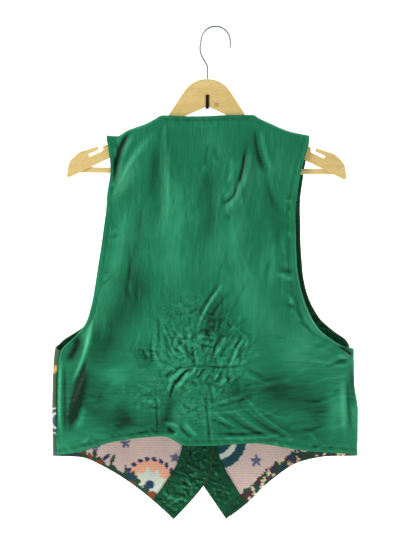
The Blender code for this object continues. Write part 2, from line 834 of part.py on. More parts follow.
def main():
    """Build every piece of the waistcoat and its hanger."""
    parts, cutters = start()
    satin = material("green_satin", (0.16, 0.48, 0.33), 0.42)
    tapestry = material("tapestry", (0.62, 0.53, 0.47), 0.85)
    horn = material("button_horn", (0.16, 0.20, 0.17), 0.35)
    wood = material("beech", (0.87, 0.75, 0.48), 0.5)
    steel = material("steel_wire", (0.62, 0.65, 0.64), 0.3, 1.0)
    black = material("black_steel", (0.05, 0.05, 0.05), 0.4, 1.0)

    cloth_panel("back", parts, satin, back_panel(), BACK_COLUMNS, BACK_ROWS, BACK_WALL)
    fronts = {"left": front_panel(LEFT), "right": front_panel(RIGHT)}
    for hand, front in fronts.items():
        cloth_panel(f"front_{hand}", parts, tapestry, front, FRONT_COLUMNS, FRONT_ROWS, FRONT_WALL)
        strip(f"facing_{hand}", parts, satin, front, CLOSING_COLUMNS[hand], CLOSING_ROWS)
        strip(f"armhole_facing_{hand}", parts, satin, front, *ARMHOLE_FACING)
    for number in range(1, BUTTON_COUNT + 1):
        build_button(number, parts, horn, fronts["right"])
    build_hanger(parts, cutters, wood, steel, black)


main()
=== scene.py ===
"""Looks of a tapestry waistcoat with a satin back that hangs, closed, on a wooden hanger.

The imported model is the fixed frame. Each cloth solid is replaced by a fine thin shell on
the same skin, with its creases, weave and sewing. The hanger's solids keep their shape.
Sizes are in millimetres until a mesh is written, and the file works in metres.
"""
import logging
import math
from collections import namedtuple
from dataclasses import dataclass
from enum import Enum
from typing import Callable, Sequence

import bmesh
import bpy
import numpy as np
from mathutils import Matrix, Vector


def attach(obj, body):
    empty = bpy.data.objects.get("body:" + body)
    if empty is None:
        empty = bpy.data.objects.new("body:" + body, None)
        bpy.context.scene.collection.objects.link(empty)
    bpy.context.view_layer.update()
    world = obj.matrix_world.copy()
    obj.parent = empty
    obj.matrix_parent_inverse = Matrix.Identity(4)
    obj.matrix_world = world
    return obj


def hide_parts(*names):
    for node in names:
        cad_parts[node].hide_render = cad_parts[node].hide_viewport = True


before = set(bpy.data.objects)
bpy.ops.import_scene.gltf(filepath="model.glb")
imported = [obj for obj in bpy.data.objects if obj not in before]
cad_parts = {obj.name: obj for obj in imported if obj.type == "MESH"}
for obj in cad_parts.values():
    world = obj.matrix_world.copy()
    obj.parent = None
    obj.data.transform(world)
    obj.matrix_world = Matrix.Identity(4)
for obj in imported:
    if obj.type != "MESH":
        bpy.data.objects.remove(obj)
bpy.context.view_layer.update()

LOG = logging.getLogger("waistcoat")
MM = 0.001
BODY = "root"
# Where the garment's middle hangs in the frame, in millimetres
GARMENT_PLACE = np.array((-13.2, 0.0, 0.0))
# How far the cut shoulder edges lie below the shoulder's crest
SHOULDER_DROP = 6.0
# How far the left front lies under the right one, and where it starts to
LAP_DEPTH = 4.2
LAP_X = (-70, -52)
# The edge of a pressed crease in relief(), where 2 is a soft fold
PRESSED = 1.35
# The two ends of an edge, as shares of it
START, END = np.array([0.0]), np.array([1.0])
Array = np.ndarray
Edge = Callable[[Array], "tuple[Array, Array]"]
Tree = bpy.types.NodeTree
Socket = bpy.types.NodeSocket


class Side(Enum):
    """Which half of the waistcoat a piece belongs to."""

    BACK = -1
    FRONT = 1


class Hand(Enum):
    """Left or right of someone who looks at the waistcoat's back."""

    LEFT = -1
    RIGHT = 1


def table(kind: Callable[..., tuple], *rows: tuple) -> tuple:
    """Name the columns of a table's rows.

    Args:
        kind: The named row.
        rows: Plain rows, in the order of its columns.

    Returns:
        The named rows.
    """
    return tuple(kind(*row) for row in rows)


# The skin, level by level: outermost x, and its depth back and forward of the middle
Ring = namedtuple("Ring", "z left right back front")
RING = table(
    Ring,
    (-120, -330, 330, 9.0, 9.0), (-173, -300, 300, 10.0, 10.0), (-230, -262, 258, 15.5, 14.0),
    (-300, -228, 220, 23.0, 20.0), (-400, -216, 205, 31.0, 28.0), (-460, -222, 212, 33.0, 32.0),
    (-513, -242, 232.5, 33.0, 34.0), (-560, -245, 233, 32.0, 34.0), (-610, -246, 239, 31.5, 33.0),
    (-681, -244.5, 238, 33.0, 31.0), (-790, -238, 232, 30.0, 26.0),
)

# Side edges: armholes, then the side seams, which lie rolled back on the left
Sides = namedtuple("Sides", "z left right")
UNDERARM_Z = -513.4
BACK_ARMHOLES = table(
    Sides,
    (-173, -161, 163), (-196, -157, 158), (-228, -154, 149), (-272, -159.5, 141.5),
    (-334, -166.5, 140), (-400, -176.5, 144.5), (-444, -184.5, 157), (-470, -193, 170),
    (-482, -201, 179), (-494, -213, 194), (-506, -226, 214),
)
FRONT_ARMHOLES = table(
    Sides,
    (-173, -161, 163), (-216, -152, 156), (-256, -153, 150), (-305, -158, 148),
    (-338, -162.5, 148.5), (-372, -168, 150.5), (-400, -173, 153.5), (-433, -179, 162.5),
    (-462, -188, 178.5), (-474, -195.5, 190.5), (-486, -212, 205.5), (-497, -229, 220.5),
    (-505, -237, 225),
)
SIDE_SEAMS = table(
    Sides,
    (UNDERARM_Z, -232, 227), (-545, -238, 228), (-600, -239.5, 233.5), (-681, -238.5, 232.5),
)

# Level edges: the share of the panel's width before each row, x and z
Point = namedtuple("Point", "share x z")
BACK_TOP = table(
    Point,
    (0.00, -161, -172.3), (0.055, -144, -173.4), (0.10, -128, -164.6), (0.20, -97, -153.0),
    (0.25, -84, -146.0), (0.30, -71.5, -140.2), (0.38, -35, -141.6), (0.50, -3, -141.4),
    (0.62, 35, -139.6), (0.70, 72, -139.6), (0.75, 84, -145.6), (0.80, 101, -153.4),
    (0.90, 130, -165.6), (1.00, 163, -172.8),
)
BACK_HEM = table(
    Point,
    (0.00, -238.5, -680.0), (0.14, -199, -673.0), (0.26, -145, -657.0), (0.40, -70, -649.0),
    (0.46, -32, -664.0), (0.53, 8, -663.5), (0.64, 72, -660.0), (0.78, 145, -670.5),
    (1.00, 237.0, -681.5),
)
SHOULDER_SHARES = (0.30, 0.70)
LEFT_LOWER_EDGE = table(
    Point,
    (0.00, -238.5, -680.0), (0.22, -199, -684.5), (0.40, -162, -701.0), (0.62, -115, -731.0),
    (0.82, -75, -764.0), (1.00, -53.5, -783.5),
)
RIGHT_LOWER_EDGE = table(
    Point,
    (0.00, 232.5, -681.5), (0.22, 194, -682.5), (0.40, 150, -691.0), (0.62, 102, -721.0),
    (0.82, 60, -761.0), (1.00, 30.0, -783.5),
)

# Neck opening and closing edge of each front, from the neck point to the hem's point
Closing = namedtuple("Closing", "z left right")
CLOSING = table(
    Closing,
    (-140.2, -71.5, 72), (-190, -59, 60), (-260, -40, 40), (-330, -15, 13), (-385, 4, -16),
    (-412, 10, -28), (-540, 10, -28), (-666, 10, -28), (-692, 8.5, -24), (-716, 1.5, -15),
    (-731, -7, -6), (-753, -25, 9), (-783.5, -53.5, 30),
)

# A crease runs from (x0, z0) to (x1, z1), bows sideways, and stands out by height.
# Skew makes one flank steeper than the other.
Crease = namedtuple("Crease", "x0 z0 x1 z1 bow width height skew", defaults=(0.0,))
BACK_FOLDS = table(
    Crease,
    (-124, -196, -148, -262, 6, 15, -4.0), (-90, -216, -148, -297, 4, 15, 3.5),
    (-77, -185, -73, -318, 0, 11, -4.0), (-60, -190, -58, -300, 0, 10, 2.5),
    (-97, -258, -212, -590, 22, 24, -4.5), (-182, -470, -222, -620, -10, 11, 6.5),
    (2, -212, 2, -395, 0, 17, -4.0), (66, -200, 26, -312, -10, 10, 4.5),
    (76, -190, 120, -326, 8, 14, -4.5), (26, -440, -16, -512, 6, 9, 4.0),
    (-22, -566, -60, -622, 14, 12, -6.0), (-120, -520, -60, -560, 6, 14, 3.5),
    (-80, -650, -44, -590, 4, 12, -5.0), (38, -560, 118, -660, 6, 14, 3.5),
    (150, -500, 178, -640, 0, 22, -3.5),
)
FRONT_FOLDS = table(
    Crease,
    (-120, -250, -175, -400, 6, 20, -3.5), (-150, -480, -120, -690, 8, 26, 4.5),
    (-205, -520, -195, -660, 4, 18, -4.0), (115, -250, 150, -400, -6, 20, -3.5),
    (140, -480, 110, -690, -8, 26, 4.5), (200, -520, 185, -660, -4, 18, -4.0),
)
BACK_CREASES = table(
    Crease,
    # Left armhole and shoulder
    (-123, -164, -147, -240, 5, 3.6, -3.6, 0.3), (-114, -164, -138, -236, 5, 4.0, 1.6),
    (-146, -170, -141, -196, 2, 3.0, -1.6, 0.3), (-86, -170, -146, -272, 6, 6.0, 1.3, 0.4),
    (-84, -178, -92, -272, -4, 5.5, -1.2), (-73, -150, -77, -236, 1, 3.6, -1.4),
    (-67, -152, -66, -200, 0, 3.0, 1.2), (-95, -262, -108, -340, 3, 6.0, -0.9),
    (-108, -335, -122, -410, 4, 8.0, -0.8), (-58, -176, -61, -330, 2, 5.0, 0.8),
    (-44, -200, -46, -380, -2, 5.5, 0.7),
    # Neck and middle
    (2, -186, -2, -222, 1, 2.8, -1.3, 0.3), (12, -190, 18, -214, 1, 2.8, -1.0),
    (-2, -214, -12, -262, 2, 4.0, 1.0), (5, -215, 4, -345, 0, 8.0, -1.0),
    (-16, -220, -14, -400, 2, 5.0, 0.9), (60, -196, 46, -256, -3, 3.2, -2.6, 0.5),
    (47, -250, 26, -281, -5, 2.8, -2.6, 0.4), (68, -190, 54, -262, -3, 4.0, 1.8),
    (38, -206, 34, -250, -2, 4.0, 1.0), (76, -158, 92, -232, 5, 4.0, -1.7, 0.2),
    (90, -228, 118, -300, 5, 6.0, -1.2), (86, -160, 104, -232, 4, 4.0, 1.5),
    (28, -298, 36, -304, 0, 2.4, -1.2), (40, -300, 52, -400, 2, 6.0, 0.9),
    # Left side, its bright ridge and the hollow on each side of it
    (-118, -392, -172, -538, -3, 15.0, -0.9), (-181, -466, -216, -570, -6, 4.2, 2.4, 0.5),
    (-203, -490, -222, -530, -3, 5.5, -1.5), (-193, -520, -222, -610, -4, 6.0, -2.2),
    (-232, -526, -234, -640, 1, 2.8, 1.8, 0.3), (-226, -536, -226, -650, 0, 4.0, -1.8),
    (-193, -600, -209, -640, -2, 7.0, 1.6), (-150, -556, -176, -600, 2, 7.0, -0.9),
    # Diagonal over the waist
    (26, -408, -14, -480, 4, 3.0, 2.4, 0.6), (18, -412, -18, -472, 4, 3.2, -1.8),
    (36, -418, -4, -484, 4, 4.0, -1.6), (-9, -444, -28, -456, 1, 2.6, -1.2, 0.3),
    # Waist seam
    (-68, -555, -54, -543, 1, 2.2, -1.8), (-56, -543, 6, -537, -2, 2.2, -1.9),
    (-4, -537, 58, -536, 3, 2.2, -1.9),
    # Gathered creases about the waist
    (-78, -460, -76, -504, -1, 2.4, -1.7, 0.3), (-89, -486, -88, -535, 0, 2.2, -1.5),
    (-68, -486, -62, -514, -2, 2.4, -1.8, 0.3), (-52, -508, -34, -519, 1, 2.4, -2.0, 0.3),
    (-22, -506, -19, -538, 1, 2.4, -2.0, 0.3), (-44, -526, -24, -520, 1, 2.4, -1.6),
    (-36, -500, -28, -520, 1, 2.6, -1.6), (-47, -497, -31, -488, 1, 2.4, -1.7, 0.2),
    (-40, -495, -17, -492, 0, 2.2, -1.5, 0.2), (-14, -502, 15, -508, 1, 2.4, -1.7, 0.2),
    (-10, -494, 10, -497, 0, 2.4, -1.3), (-18, -486, -4, -478, 1, 2.4, -1.5, 0.2),
    (-4, -478, 4, -492, 1, 2.4, -1.4, 0.2), (26, -486, 5, -534, 3, 2.6, -2.0, 0.4),
    (34, -484, 14, -530, 3, 2.6, 1.5, 0.2), (30, -508, 20, -528, 1, 2.2, -1.5),
    (51, -498, 32, -535, 3, 2.4, -1.7, 0.3), (60, -494, 42, -530, 3, 2.8, 1.3),
    (-1, -541, -15, -557, 1, 2.4, -1.9, 0.3), (8, -542, -8, -562, 1, 2.4, 1.4, 0.2),
    (14, -541, -2, -560, 1, 2.2, -1.5, 0.2), (24, -541, 12, -562, 1, 2.4, 1.3, 0.2),
    (33, -540, 34, -566, 1, 2.4, -1.4, 0.2), (-4, -562, 30, -572, 1, 2.6, -1.3, 0.2),
    (-22, -556, -10, -552, 0, 2.4, -1.4, 0.2), (-22, -560, -16, -572, 0, 2.2, -1.5, 0.2),
    (-96, -512, -74, -514, 1, 2.4, -1.2, 0.2), (-102, -524, -84, -522, 1, 2.4, -1.0, 0.2),
    (-70, -528, -56, -536, 1, 2.4, -1.2, 0.2), (-88, -500, -66, -546, 3, 3.2, 1.2, 0.2),
    # Dark curved crease under the seam
    (-23, -543, -46, -562, 4, 2.6, -4.4, 0.5), (-43, -556, -58, -588, 3, 2.6, -3.0, 0.5),
    (-14, -546, -48, -578, 7, 3.6, 2.0), (-34, -544, -62, -576, 6, 3.6, 1.6),
    # Darts and the middle seam
    (-82, -563, -79, -646, 0, 2.0, -1.5), (-4, -580, 4.4, -660, 0, 2.0, -1.9),
    (3, -566, 10, -600, 0, 2.6, -1.3), (-112, -566, -86, -574, 1, 2.4, 1.0, 0.2),
    (-108, -580, -84, -584, 1, 2.4, -1.0, 0.2), (-104, -592, -84, -590, 1, 2.4, 1.0, 0.2),
    (-96, -600, -72, -604, 1, 2.4, -1.4, 0.2),
    # Hollow and tuck by the hem
    (-50, -580, -66, -644, 4, 12.0, -1.4), (-63, -634, -50, -643, 1, 2.8, -4.6, 0.4),
    (-70, -628, -44, -634, -2, 3.0, 2.0), (-44, -629, -22, -652, 2, 2.8, -2.4, 0.4),
    (-36, -624, -14, -648, 2, 3.2, 1.7), (-40, -596, -24, -606, 1, 2.4, -1.4, 0.2),
    (-34, -612, -12, -600, 1, 2.4, -1.3, 0.2), (-84, -640, -112, -646, 1, 2.4, -1.2, 0.2),
    # Fan of fine creases to the right side of the hem
    (6, -597, 68, -576, 2, 2.6, 1.4, 0.4), (2, -604, 66, -586, 2, 2.6, -1.1, 0.2),
    (0, -612, 70, -604, 1, 2.6, 1.3, 0.4), (6, -620, 38, -633, 1, 2.4, -1.6, 0.3),
    (40, -572, 112, -562, 2, 3.0, 1.0, 0.2), (62, -590, 140, -652, 5, 2.4, 1.3, 0.4),
    (46, -594, 124, -650, 5, 2.2, -1.0, 0.2), (36, -600, 112, -651, 5, 2.4, 1.1, 0.3),
    (24, -606, 94, -649, 4, 2.2, -1.0, 0.2), (14, -611, 78, -647, 4, 2.4, 1.1, 0.3),
    (50, -580, 126, -622, 6, 2.4, 0.9, 0.2), (14, -644, 100, -640, 2, 2.6, -1.4, 0.3),
    (16, -651, 112, -648, 2, 2.6, 1.3, 0.3), (60, -536, 92, -556, 2, 3.0, -1.2),
    (56, -548, 98, -566, 2, 3.0, 1.0),
    # Right side
    (211, -508, 230, -523, -2, 2.6, -2.8, 0.3), (204, -520, 226, -530, -1, 3.0, 1.6),
    (200, -531, 224, -527, 0, 2.4, -1.7, 0.2), (186, -537, 224, -531, 0, 2.4, -1.5, 0.2),
    (160, -526, 220, -540, 0, 3.0, 0.9), (142, -466, 172, -492, -3, 2.8, -1.3, 0.2),
    (132, -440, 154, -470, -3, 2.8, -1.2, 0.2), (120, -420, 144, -456, -3, 3.0, 0.9),
    (112, -382, 141, -391, 1, 2.4, -1.4, 0.3), (108, -391, 138, -401, 1, 2.6, 1.1),
    (222, -556, 228, -640, 1, 3.6, -1.9), (213, -560, 217, -650, 1, 4.2, 1.2),
)
# Broad soft shades where the satin turns from the light, drawn like creases: height below
# zero is darker
BACK_SHADES = table(
    Crease,
    (-122, -160, -148, -244, 5, 6, -0.9), (-88, -174, -142, -266, 6, 8, 0.4),
    (-80, -190, -90, -276, -3, 10, -0.45), (-96, -270, -120, -410, 4, 15, -0.35),
    (-96, -378, -182, -538, -2, 24, -0.85), (-180, -462, -217, -572, -6, 5, 0.5),
    (-204, -488, -222, -532, -3, 8, -1.2), (-192, -516, -224, -650, -4, 9, -1.1),
    (-232, -526, -234, -642, 1, 3, 0.9), (-196, -600, -208, -640, -2, 9, 0.7),
    (-146, -596, -118, -630, 0, 17, -0.8), (-150, -536, -140, -570, 0, 20, 0.5),
    (-60, -210, -52, -420, 0, 20, 0.45), (3, -225, 6, -350, 0, 12, -0.4),
    (40, -220, 48, -380, 0, 14, 0.4), (62, -178, 44, -262, -3, 6, -0.8),
    (76, -160, 96, -240, 5, 9, -0.6), (94, -236, 126, -330, 5, 12, -0.5),
    (18, -440, 4, -500, 3, 14, -0.7), (-46, -576, -70, -652, 4, 16, -0.6),
    (-106, -500, -96, -545, 0, 14, -0.5), (30, -566, 70, -590, 0, 16, -0.6),
    (70, -562, 200, -604, 4, 26, -0.8), (190, -598, 170, -634, 0, 18, -0.3),
    (206, -580, 196, -650, 0, 13, 0.6), (160, -490, 122, -540, 0, 24, 0.5),
    (229, -540, 231, -606, 0, 5, -1.1), (206, -506, 232, -522, -1, 6, -0.8),
    (60, -380, 70, -480, 0, 18, 0.35), (-130, -280, -150, -400, 0, 12, 0.4),
    (100, -330, 96, -420, 0, 16, 0.3), (-206, -540, -212, -640, 0, 24, -1.0),
    (-174, -548, -166, -640, 0, 20, -0.7), (-239, -520, -240, -662, 1, 4, -1.6),
    (-170, -636, -60, -622, 2, 18, -0.65), (0, -638, 210, -646, -2, 16, -0.6),
)
FRONT_CREASES = table(
    Crease,
    (-118, -190, -150, -300, 6, 6.0, -1.6, 0.3), (-90, -180, -120, -300, 5, 6.0, 1.3, 0.3),
    (-60, -300, -130, -440, 8, 8.0, 1.1), (-180, -480, -90, -520, 6, 6.0, 1.4, 0.4),
    (-200, -510, -110, -560, 6, 7.0, -1.3), (-140, -560, -120, -700, 6, 8.0, 1.4, 0.3),
    (-80, -560, -60, -720, 4, 8.0, -1.2), (-215, -560, -205, -670, 3, 6.0, 1.2),
    (-40, -500, -60, -640, -4, 7.0, 1.0, 0.2), (118, -190, 146, -300, -6, 6.0, -1.6, 0.3),
    (92, -180, 118, -300, -5, 6.0, 1.3, 0.3), (62, -310, 120, -440, -8, 8.0, 1.1),
    (176, -476, 80, -520, -6, 6.0, 1.4, 0.4), (196, -506, 110, -566, -6, 7.0, -1.3),
    (132, -560, 112, -690, -6, 8.0, 1.4, 0.3), (70, -570, 62, -720, -4, 8.0, -1.2),
    (210, -560, 200, -664, -3, 6.0, 1.2), (20, -520, 34, -650, 4, 7.0, 1.0, 0.2),
)


# Colour

def linear(hexadecimal: str) -> tuple[float, float, float, float]:
    """Turn an sRGB hex colour into linear RGBA.

    Args:
        hexadecimal: Six hex digits, with or without a leading hash.

    Returns:
        Linear red, green, blue and an alpha of 1.
    """
    digits = hexadecimal.lstrip("#")
    shares = [int(digits[i:i + 2], 16) / 255 for i in (0, 2, 4)]
    red, green, blue = (
        c / 12.92 if c <= 0.04045 else ((c + 0.055) / 1.055) ** 2.4 for c in shares
    )
    return (red, green, blue, 1.0)


# Reading tables and edges

def blend(value: Array, low: float, high: float) -> Array:
    """A soft step: 0 below low, 1 above high."""
    t = np.clip((value - low) / (high - low), 0.0, 1.0)
    return t * t * (3 - 2 * t)


def along(rows: Sequence, key: str, at: Array, column: str) -> Array:
    """Read a table's column on a smooth curve without overshoot.

    Args:
        rows: Rows with named columns.
        key: The column that says where each row is.
        at: Where to read.
        column: The column to read.

    Returns:
        The column's values at those places.
    """
    keys = np.array([getattr(row, key) for row in rows], float)
    values = np.array([getattr(row, column) for row in rows], float)
    if keys[0] > keys[-1]:
        keys, values = keys[::-1], values[::-1]
    at = np.clip(at, keys[0], keys[-1])
    i = np.clip(np.searchsorted(keys, at, side="right") - 1, 0, len(keys) - 2)
    slopes = np.diff(values) / np.diff(keys)
    before, after = slopes[:-1], slopes[1:]
    total = np.where(before * after > 0, before + after, 1.0)
    inner = np.where(before * after > 0, 2 * before * after / total, 0.0)
    tangents = np.concatenate(([slopes[0]], inner, [slopes[-1]]))
    span = keys[i + 1] - keys[i]
    t = (at - keys[i]) / span
    return (
        values[i] * (1 + 2 * t) * (1 - t) ** 2
        + values[i + 1] * t * t * (3 - 2 * t)
        + span * tangents[i] * t * (1 - t) ** 2
        - span * tangents[i + 1] * t * t * (1 - t)
    )


def ring_size(z: Array) -> tuple[Array, Array]:
    """Middle x and half width of the skin at a level."""
    left, right = along(RING, "z", z, "left"), along(RING, "z", z, "right")
    return (left + right) / 2, (right - left) / 2


def turn_at(x: Array, z: Array) -> Array:
    """How far round the skin a place at x lies: -1 and 1 are the sides."""
    middle, half = ring_size(z)
    return np.arcsin(np.clip((x - middle) / half, -1, 1)) * 2 / math.pi


def relief(creases: Sequence[Crease], x: Array, z: Array, crease_edge: float = 2.0) -> Array:
    """How far creases lift the cloth at each place.

    Args:
        creases: The creases, in millimetres.
        x: Places across the garment.
        z: Levels.
        crease_edge: 2 for a soft fold, towards 1 for a pressed crease with a sharp crest.

    Returns:
        The lift in millimetres, outwards.
    """
    lift = np.zeros_like(x)
    for crease in creases:
        dx, dz = crease.x1 - crease.x0, crease.z1 - crease.z0
        length = math.hypot(dx, dz)
        t = ((x - crease.x0) * dx + (z - crease.z0) * dz) / length ** 2
        aside = ((x - crease.x0) * dz - (z - crease.z0) * dx) / length
        aside = (aside - crease.bow * 4 * t * (1 - t)) / crease.width
        ends = blend(t, -0.1, 0.3) * (1 - blend(t, 0.7, 1.1))
        shape = np.exp(-np.abs(aside) ** crease_edge)
        lift += crease.height * ends * shape * (1 + crease.skew * np.tanh(2 * aside))
    return lift


def spaced(count: int, low: float, high: float, gain: float) -> Array:
    """Shares from 0 to 1 that lie closer together between low and high.

    Args:
        count: How many steps.
        low: Where the close part starts.
        high: Where it ends.
        gain: How much closer, 0 for even steps.

    Returns:
        count + 1 shares.
    """
    fine = np.linspace(0, 1, 4001)
    edge = (high - low) * 0.25
    rise, fall = blend(fine, low - edge, low + edge), blend(fine, high - edge, high + edge)
    density = 1 + gain * rise * (1 - fall)
    total = np.concatenate(([0.0], np.cumsum((density[1:] + density[:-1]) / 2)))
    return np.interp(np.linspace(0, total[-1], count + 1), total, fine)


def softened(field: Array, reach: int) -> Array:
    """A field averaged over the cells around each cell, edges repeated."""
    for axis in (0, 1):
        pad = [(0, 0), (0, 0)]
        pad[axis] = (reach, reach)
        wide = np.pad(field, pad, mode="edge")
        size = field.shape[axis]
        layers = [np.take(wide, range(k, k + size), axis=axis) for k in range(2 * reach + 1)]
        field = sum(layers) / len(layers)
    return field


def crumples(count: int, seed: int, places: Sequence, lengths: tuple[float, float],
             widths: tuple[float, float], heights: tuple[float, float],
             slant: float, spread: float) -> list[Crease]:
    """Many small creases about some middles, always the same for a seed.

    Args:
        count: How many creases.
        seed: The seed of their order.
        places: Rows of x, z and reach, the middles they gather round.
        lengths: Shortest and longest.
        widths: Narrowest and widest.
        heights: Lowest and highest, half of them turned inwards.
        slant: Their usual direction in degrees from level.
        spread: How far that direction strays, in degrees.

    Returns:
        The creases.
    """
    draw = np.random.default_rng(seed)
    found = []
    for _ in range(count):
        x, z, reach = places[draw.integers(len(places))]
        x += draw.normal() * reach
        z += draw.normal() * reach * 0.7
        angle = math.radians(slant + draw.normal() * spread)
        half = draw.uniform(*lengths) / 2
        dx, dz = half * math.cos(angle), half * math.sin(angle)
        height = draw.uniform(*heights) * draw.choice((-1, 1))
        found.append(Crease(x - dx, z - dz, x + dx, z + dz, draw.normal() * half * 0.12,
                            draw.uniform(*widths), height, draw.uniform(-0.8, 0.8)))
    return found


def edge_of_points(rows: Sequence[Point], lower: float = 0.0) -> Edge:
    """An edge of a panel from its table.

    Args:
        rows: Share, x and z of each point.
        lower: How far to lower it, in millimetres.

    Returns:
        A function from a share of the edge to its turn and level.
    """
    def edge(share: Array) -> tuple[Array, Array]:
        x = along(rows, "share", share, "x")
        z = along(rows, "share", share, "z") - lower
        return turn_at(x, z), z
    return edge


def edge_of_turns(turn: Callable[[Array], Array], top: float, bottom: float) -> Edge:
    """A side edge between two levels from a function of z that gives its turn."""
    def edge(share: Array) -> tuple[Array, Array]:
        z = top + share * (bottom - top)
        return turn(z), z
    return edge


Turn = namedtuple("Turn", "z turn")


def side_edge(side: Side, hand: Hand) -> Callable[[Array], Array]:
    """A panel's outer edge: its armhole, then its side seam.

    Args:
        side: Back or front.
        hand: Left or right.

    Returns:
        A function from z to the edge's turn.
    """
    column = hand.name.lower()
    gap = 0.004

    def seam(z: Array) -> Array:
        turn = turn_at(along(SIDE_SEAMS, "z", z, column), z)
        turn = turn if hand is Hand.LEFT else 2 - turn
        return turn if side is Side.BACK else 2 * hand.value - turn - hand.value * gap

    armholes = BACK_ARMHOLES if side is Side.BACK else FRONT_ARMHOLES
    rows = [Turn(row.z, float(turn_at(np.array(getattr(row, column)), np.array(row.z))))
            for row in armholes]
    rows.append(Turn(UNDERARM_Z, float(seam(np.array(UNDERARM_Z)))))
    return lambda z: np.where(z > UNDERARM_Z, along(rows, "z", z, "turn"), seam(z))


# Nodes

def add(tree: Tree, kind: str, sets: dict | None = None, links: dict | None = None) -> bpy.types.Node:
    """Add a node with its settings and links.

    Args:
        tree: The material's node tree.
        kind: The node's type name without its ShaderNode prefix.
        sets: Attributes, or values of input sockets by name or index.
        links: Output sockets to join to input sockets by name or index.

    Returns:
        The new node.
    """
    made = tree.nodes.new("ShaderNode" + kind)
    for key, value in (sets or {}).items():
        if isinstance(key, str) and hasattr(made, key):
            setattr(made, key, value)
        else:
            made.inputs[key].default_value = value
    for key, socket in (links or {}).items():
        tree.links.new(socket, made.inputs[key])
    return made


def calc(tree: Tree, operation: str, *values: Socket | float | tuple, kind: str = "Math") -> Socket:
    """Join sockets and plain values by a Math node, or a VectorMath one by its kind."""
    links = {k: value for k, value in enumerate(values) if isinstance(value, Socket)}
    sets = {k: value for k, value in enumerate(values) if not isinstance(value, Socket)}
    return add(tree, kind, {"operation": operation, **sets}, links).outputs[0]


def weighted(tree: Tree, parts: Sequence[tuple[Socket, float]]) -> Socket:
    """The weighted sum of some values."""
    total: Socket | float = 0.0
    for socket, weight in parts:
        total = calc(tree, "MULTIPLY_ADD", socket, weight, total)
    return total


def remap(tree: Tree, value: Socket, low: float, high: float, to_low: float = 0.0,
          to_high: float = 1.0, kind: str = "LINEAR") -> Socket:
    """Stretch a value from one range to another, held at its ends."""
    return add(tree, "MapRange", {"interpolation_type": kind, "From Min": low, "From Max": high,
                                  "To Min": to_low, "To Max": to_high}, {"Value": value}).outputs[0]


def noise(tree: Tree, place: Socket, scale: float, **sets: float) -> Socket:
    """Noise from 0 to 1 at a place. Its other inputs are named as in Detail=2.0."""
    return add(tree, "TexNoise", {"Scale": scale, **sets}, {"Vector": place}).outputs["Fac"]


def drawn_out(tree: Tree, place: Socket, scale: tuple[float, float, float],
              turn: float = 0.0) -> Socket:
    """A place with its axes stretched, so that noise read there lies in streaks."""
    return add(tree, "Mapping", {"Scale": scale, "Rotation": (0, 0, turn)},
               {"Vector": place}).outputs["Vector"]


def bump(tree: Tree, shader: bpy.types.Node, height: Socket, strength: float, depth_mm: float) -> None:
    """Give a shader small relief from a height."""
    made = add(tree, "Bump", {"Strength": strength, "Distance": depth_mm * MM}, {"Height": height})
    tree.links.new(made.outputs["Normal"], shader.inputs["Normal"])


def vary_roughness(tree: Tree, shader: bpy.types.Node, value: Socket, middle: float) -> None:
    """Let a shader's roughness wander a little about its middle."""
    tree.links.new(remap(tree, value, 0.0, 1.0, middle - 0.06, middle + 0.10),
                   shader.inputs["Roughness"])


def ramp(tree: Tree, factor: Socket, stops: Sequence[tuple[float, str]]) -> Socket:
    """A colour ramp from hex colours, read at a factor."""
    made = add(tree, "ValToRGB", links={"Fac": factor})
    elements = made.color_ramp.elements
    while len(elements) < len(stops):
        elements.new(0.5)
    for element, (place, colour) in zip(elements, stops):
        element.position = place
        element.color = linear(colour)
    return made.outputs["Color"]


def blank(name: str, **inputs: float | tuple) -> tuple[bpy.types.Material, Tree, bpy.types.Node]:
    """A new material with its tree and its Principled shader.

    Args:
        name: The real material.
        inputs: Plain values of the shader, with an underscore for each space in a name.

    Returns:
        The material, its tree and its shader.
    """
    made = bpy.data.materials.new(name)
    made.use_nodes = True
    shader = made.node_tree.nodes["Principled BSDF"]
    for key, value in inputs.items():
        shader.inputs[key.replace("_", " ")].default_value = value
    return made, made.node_tree, shader


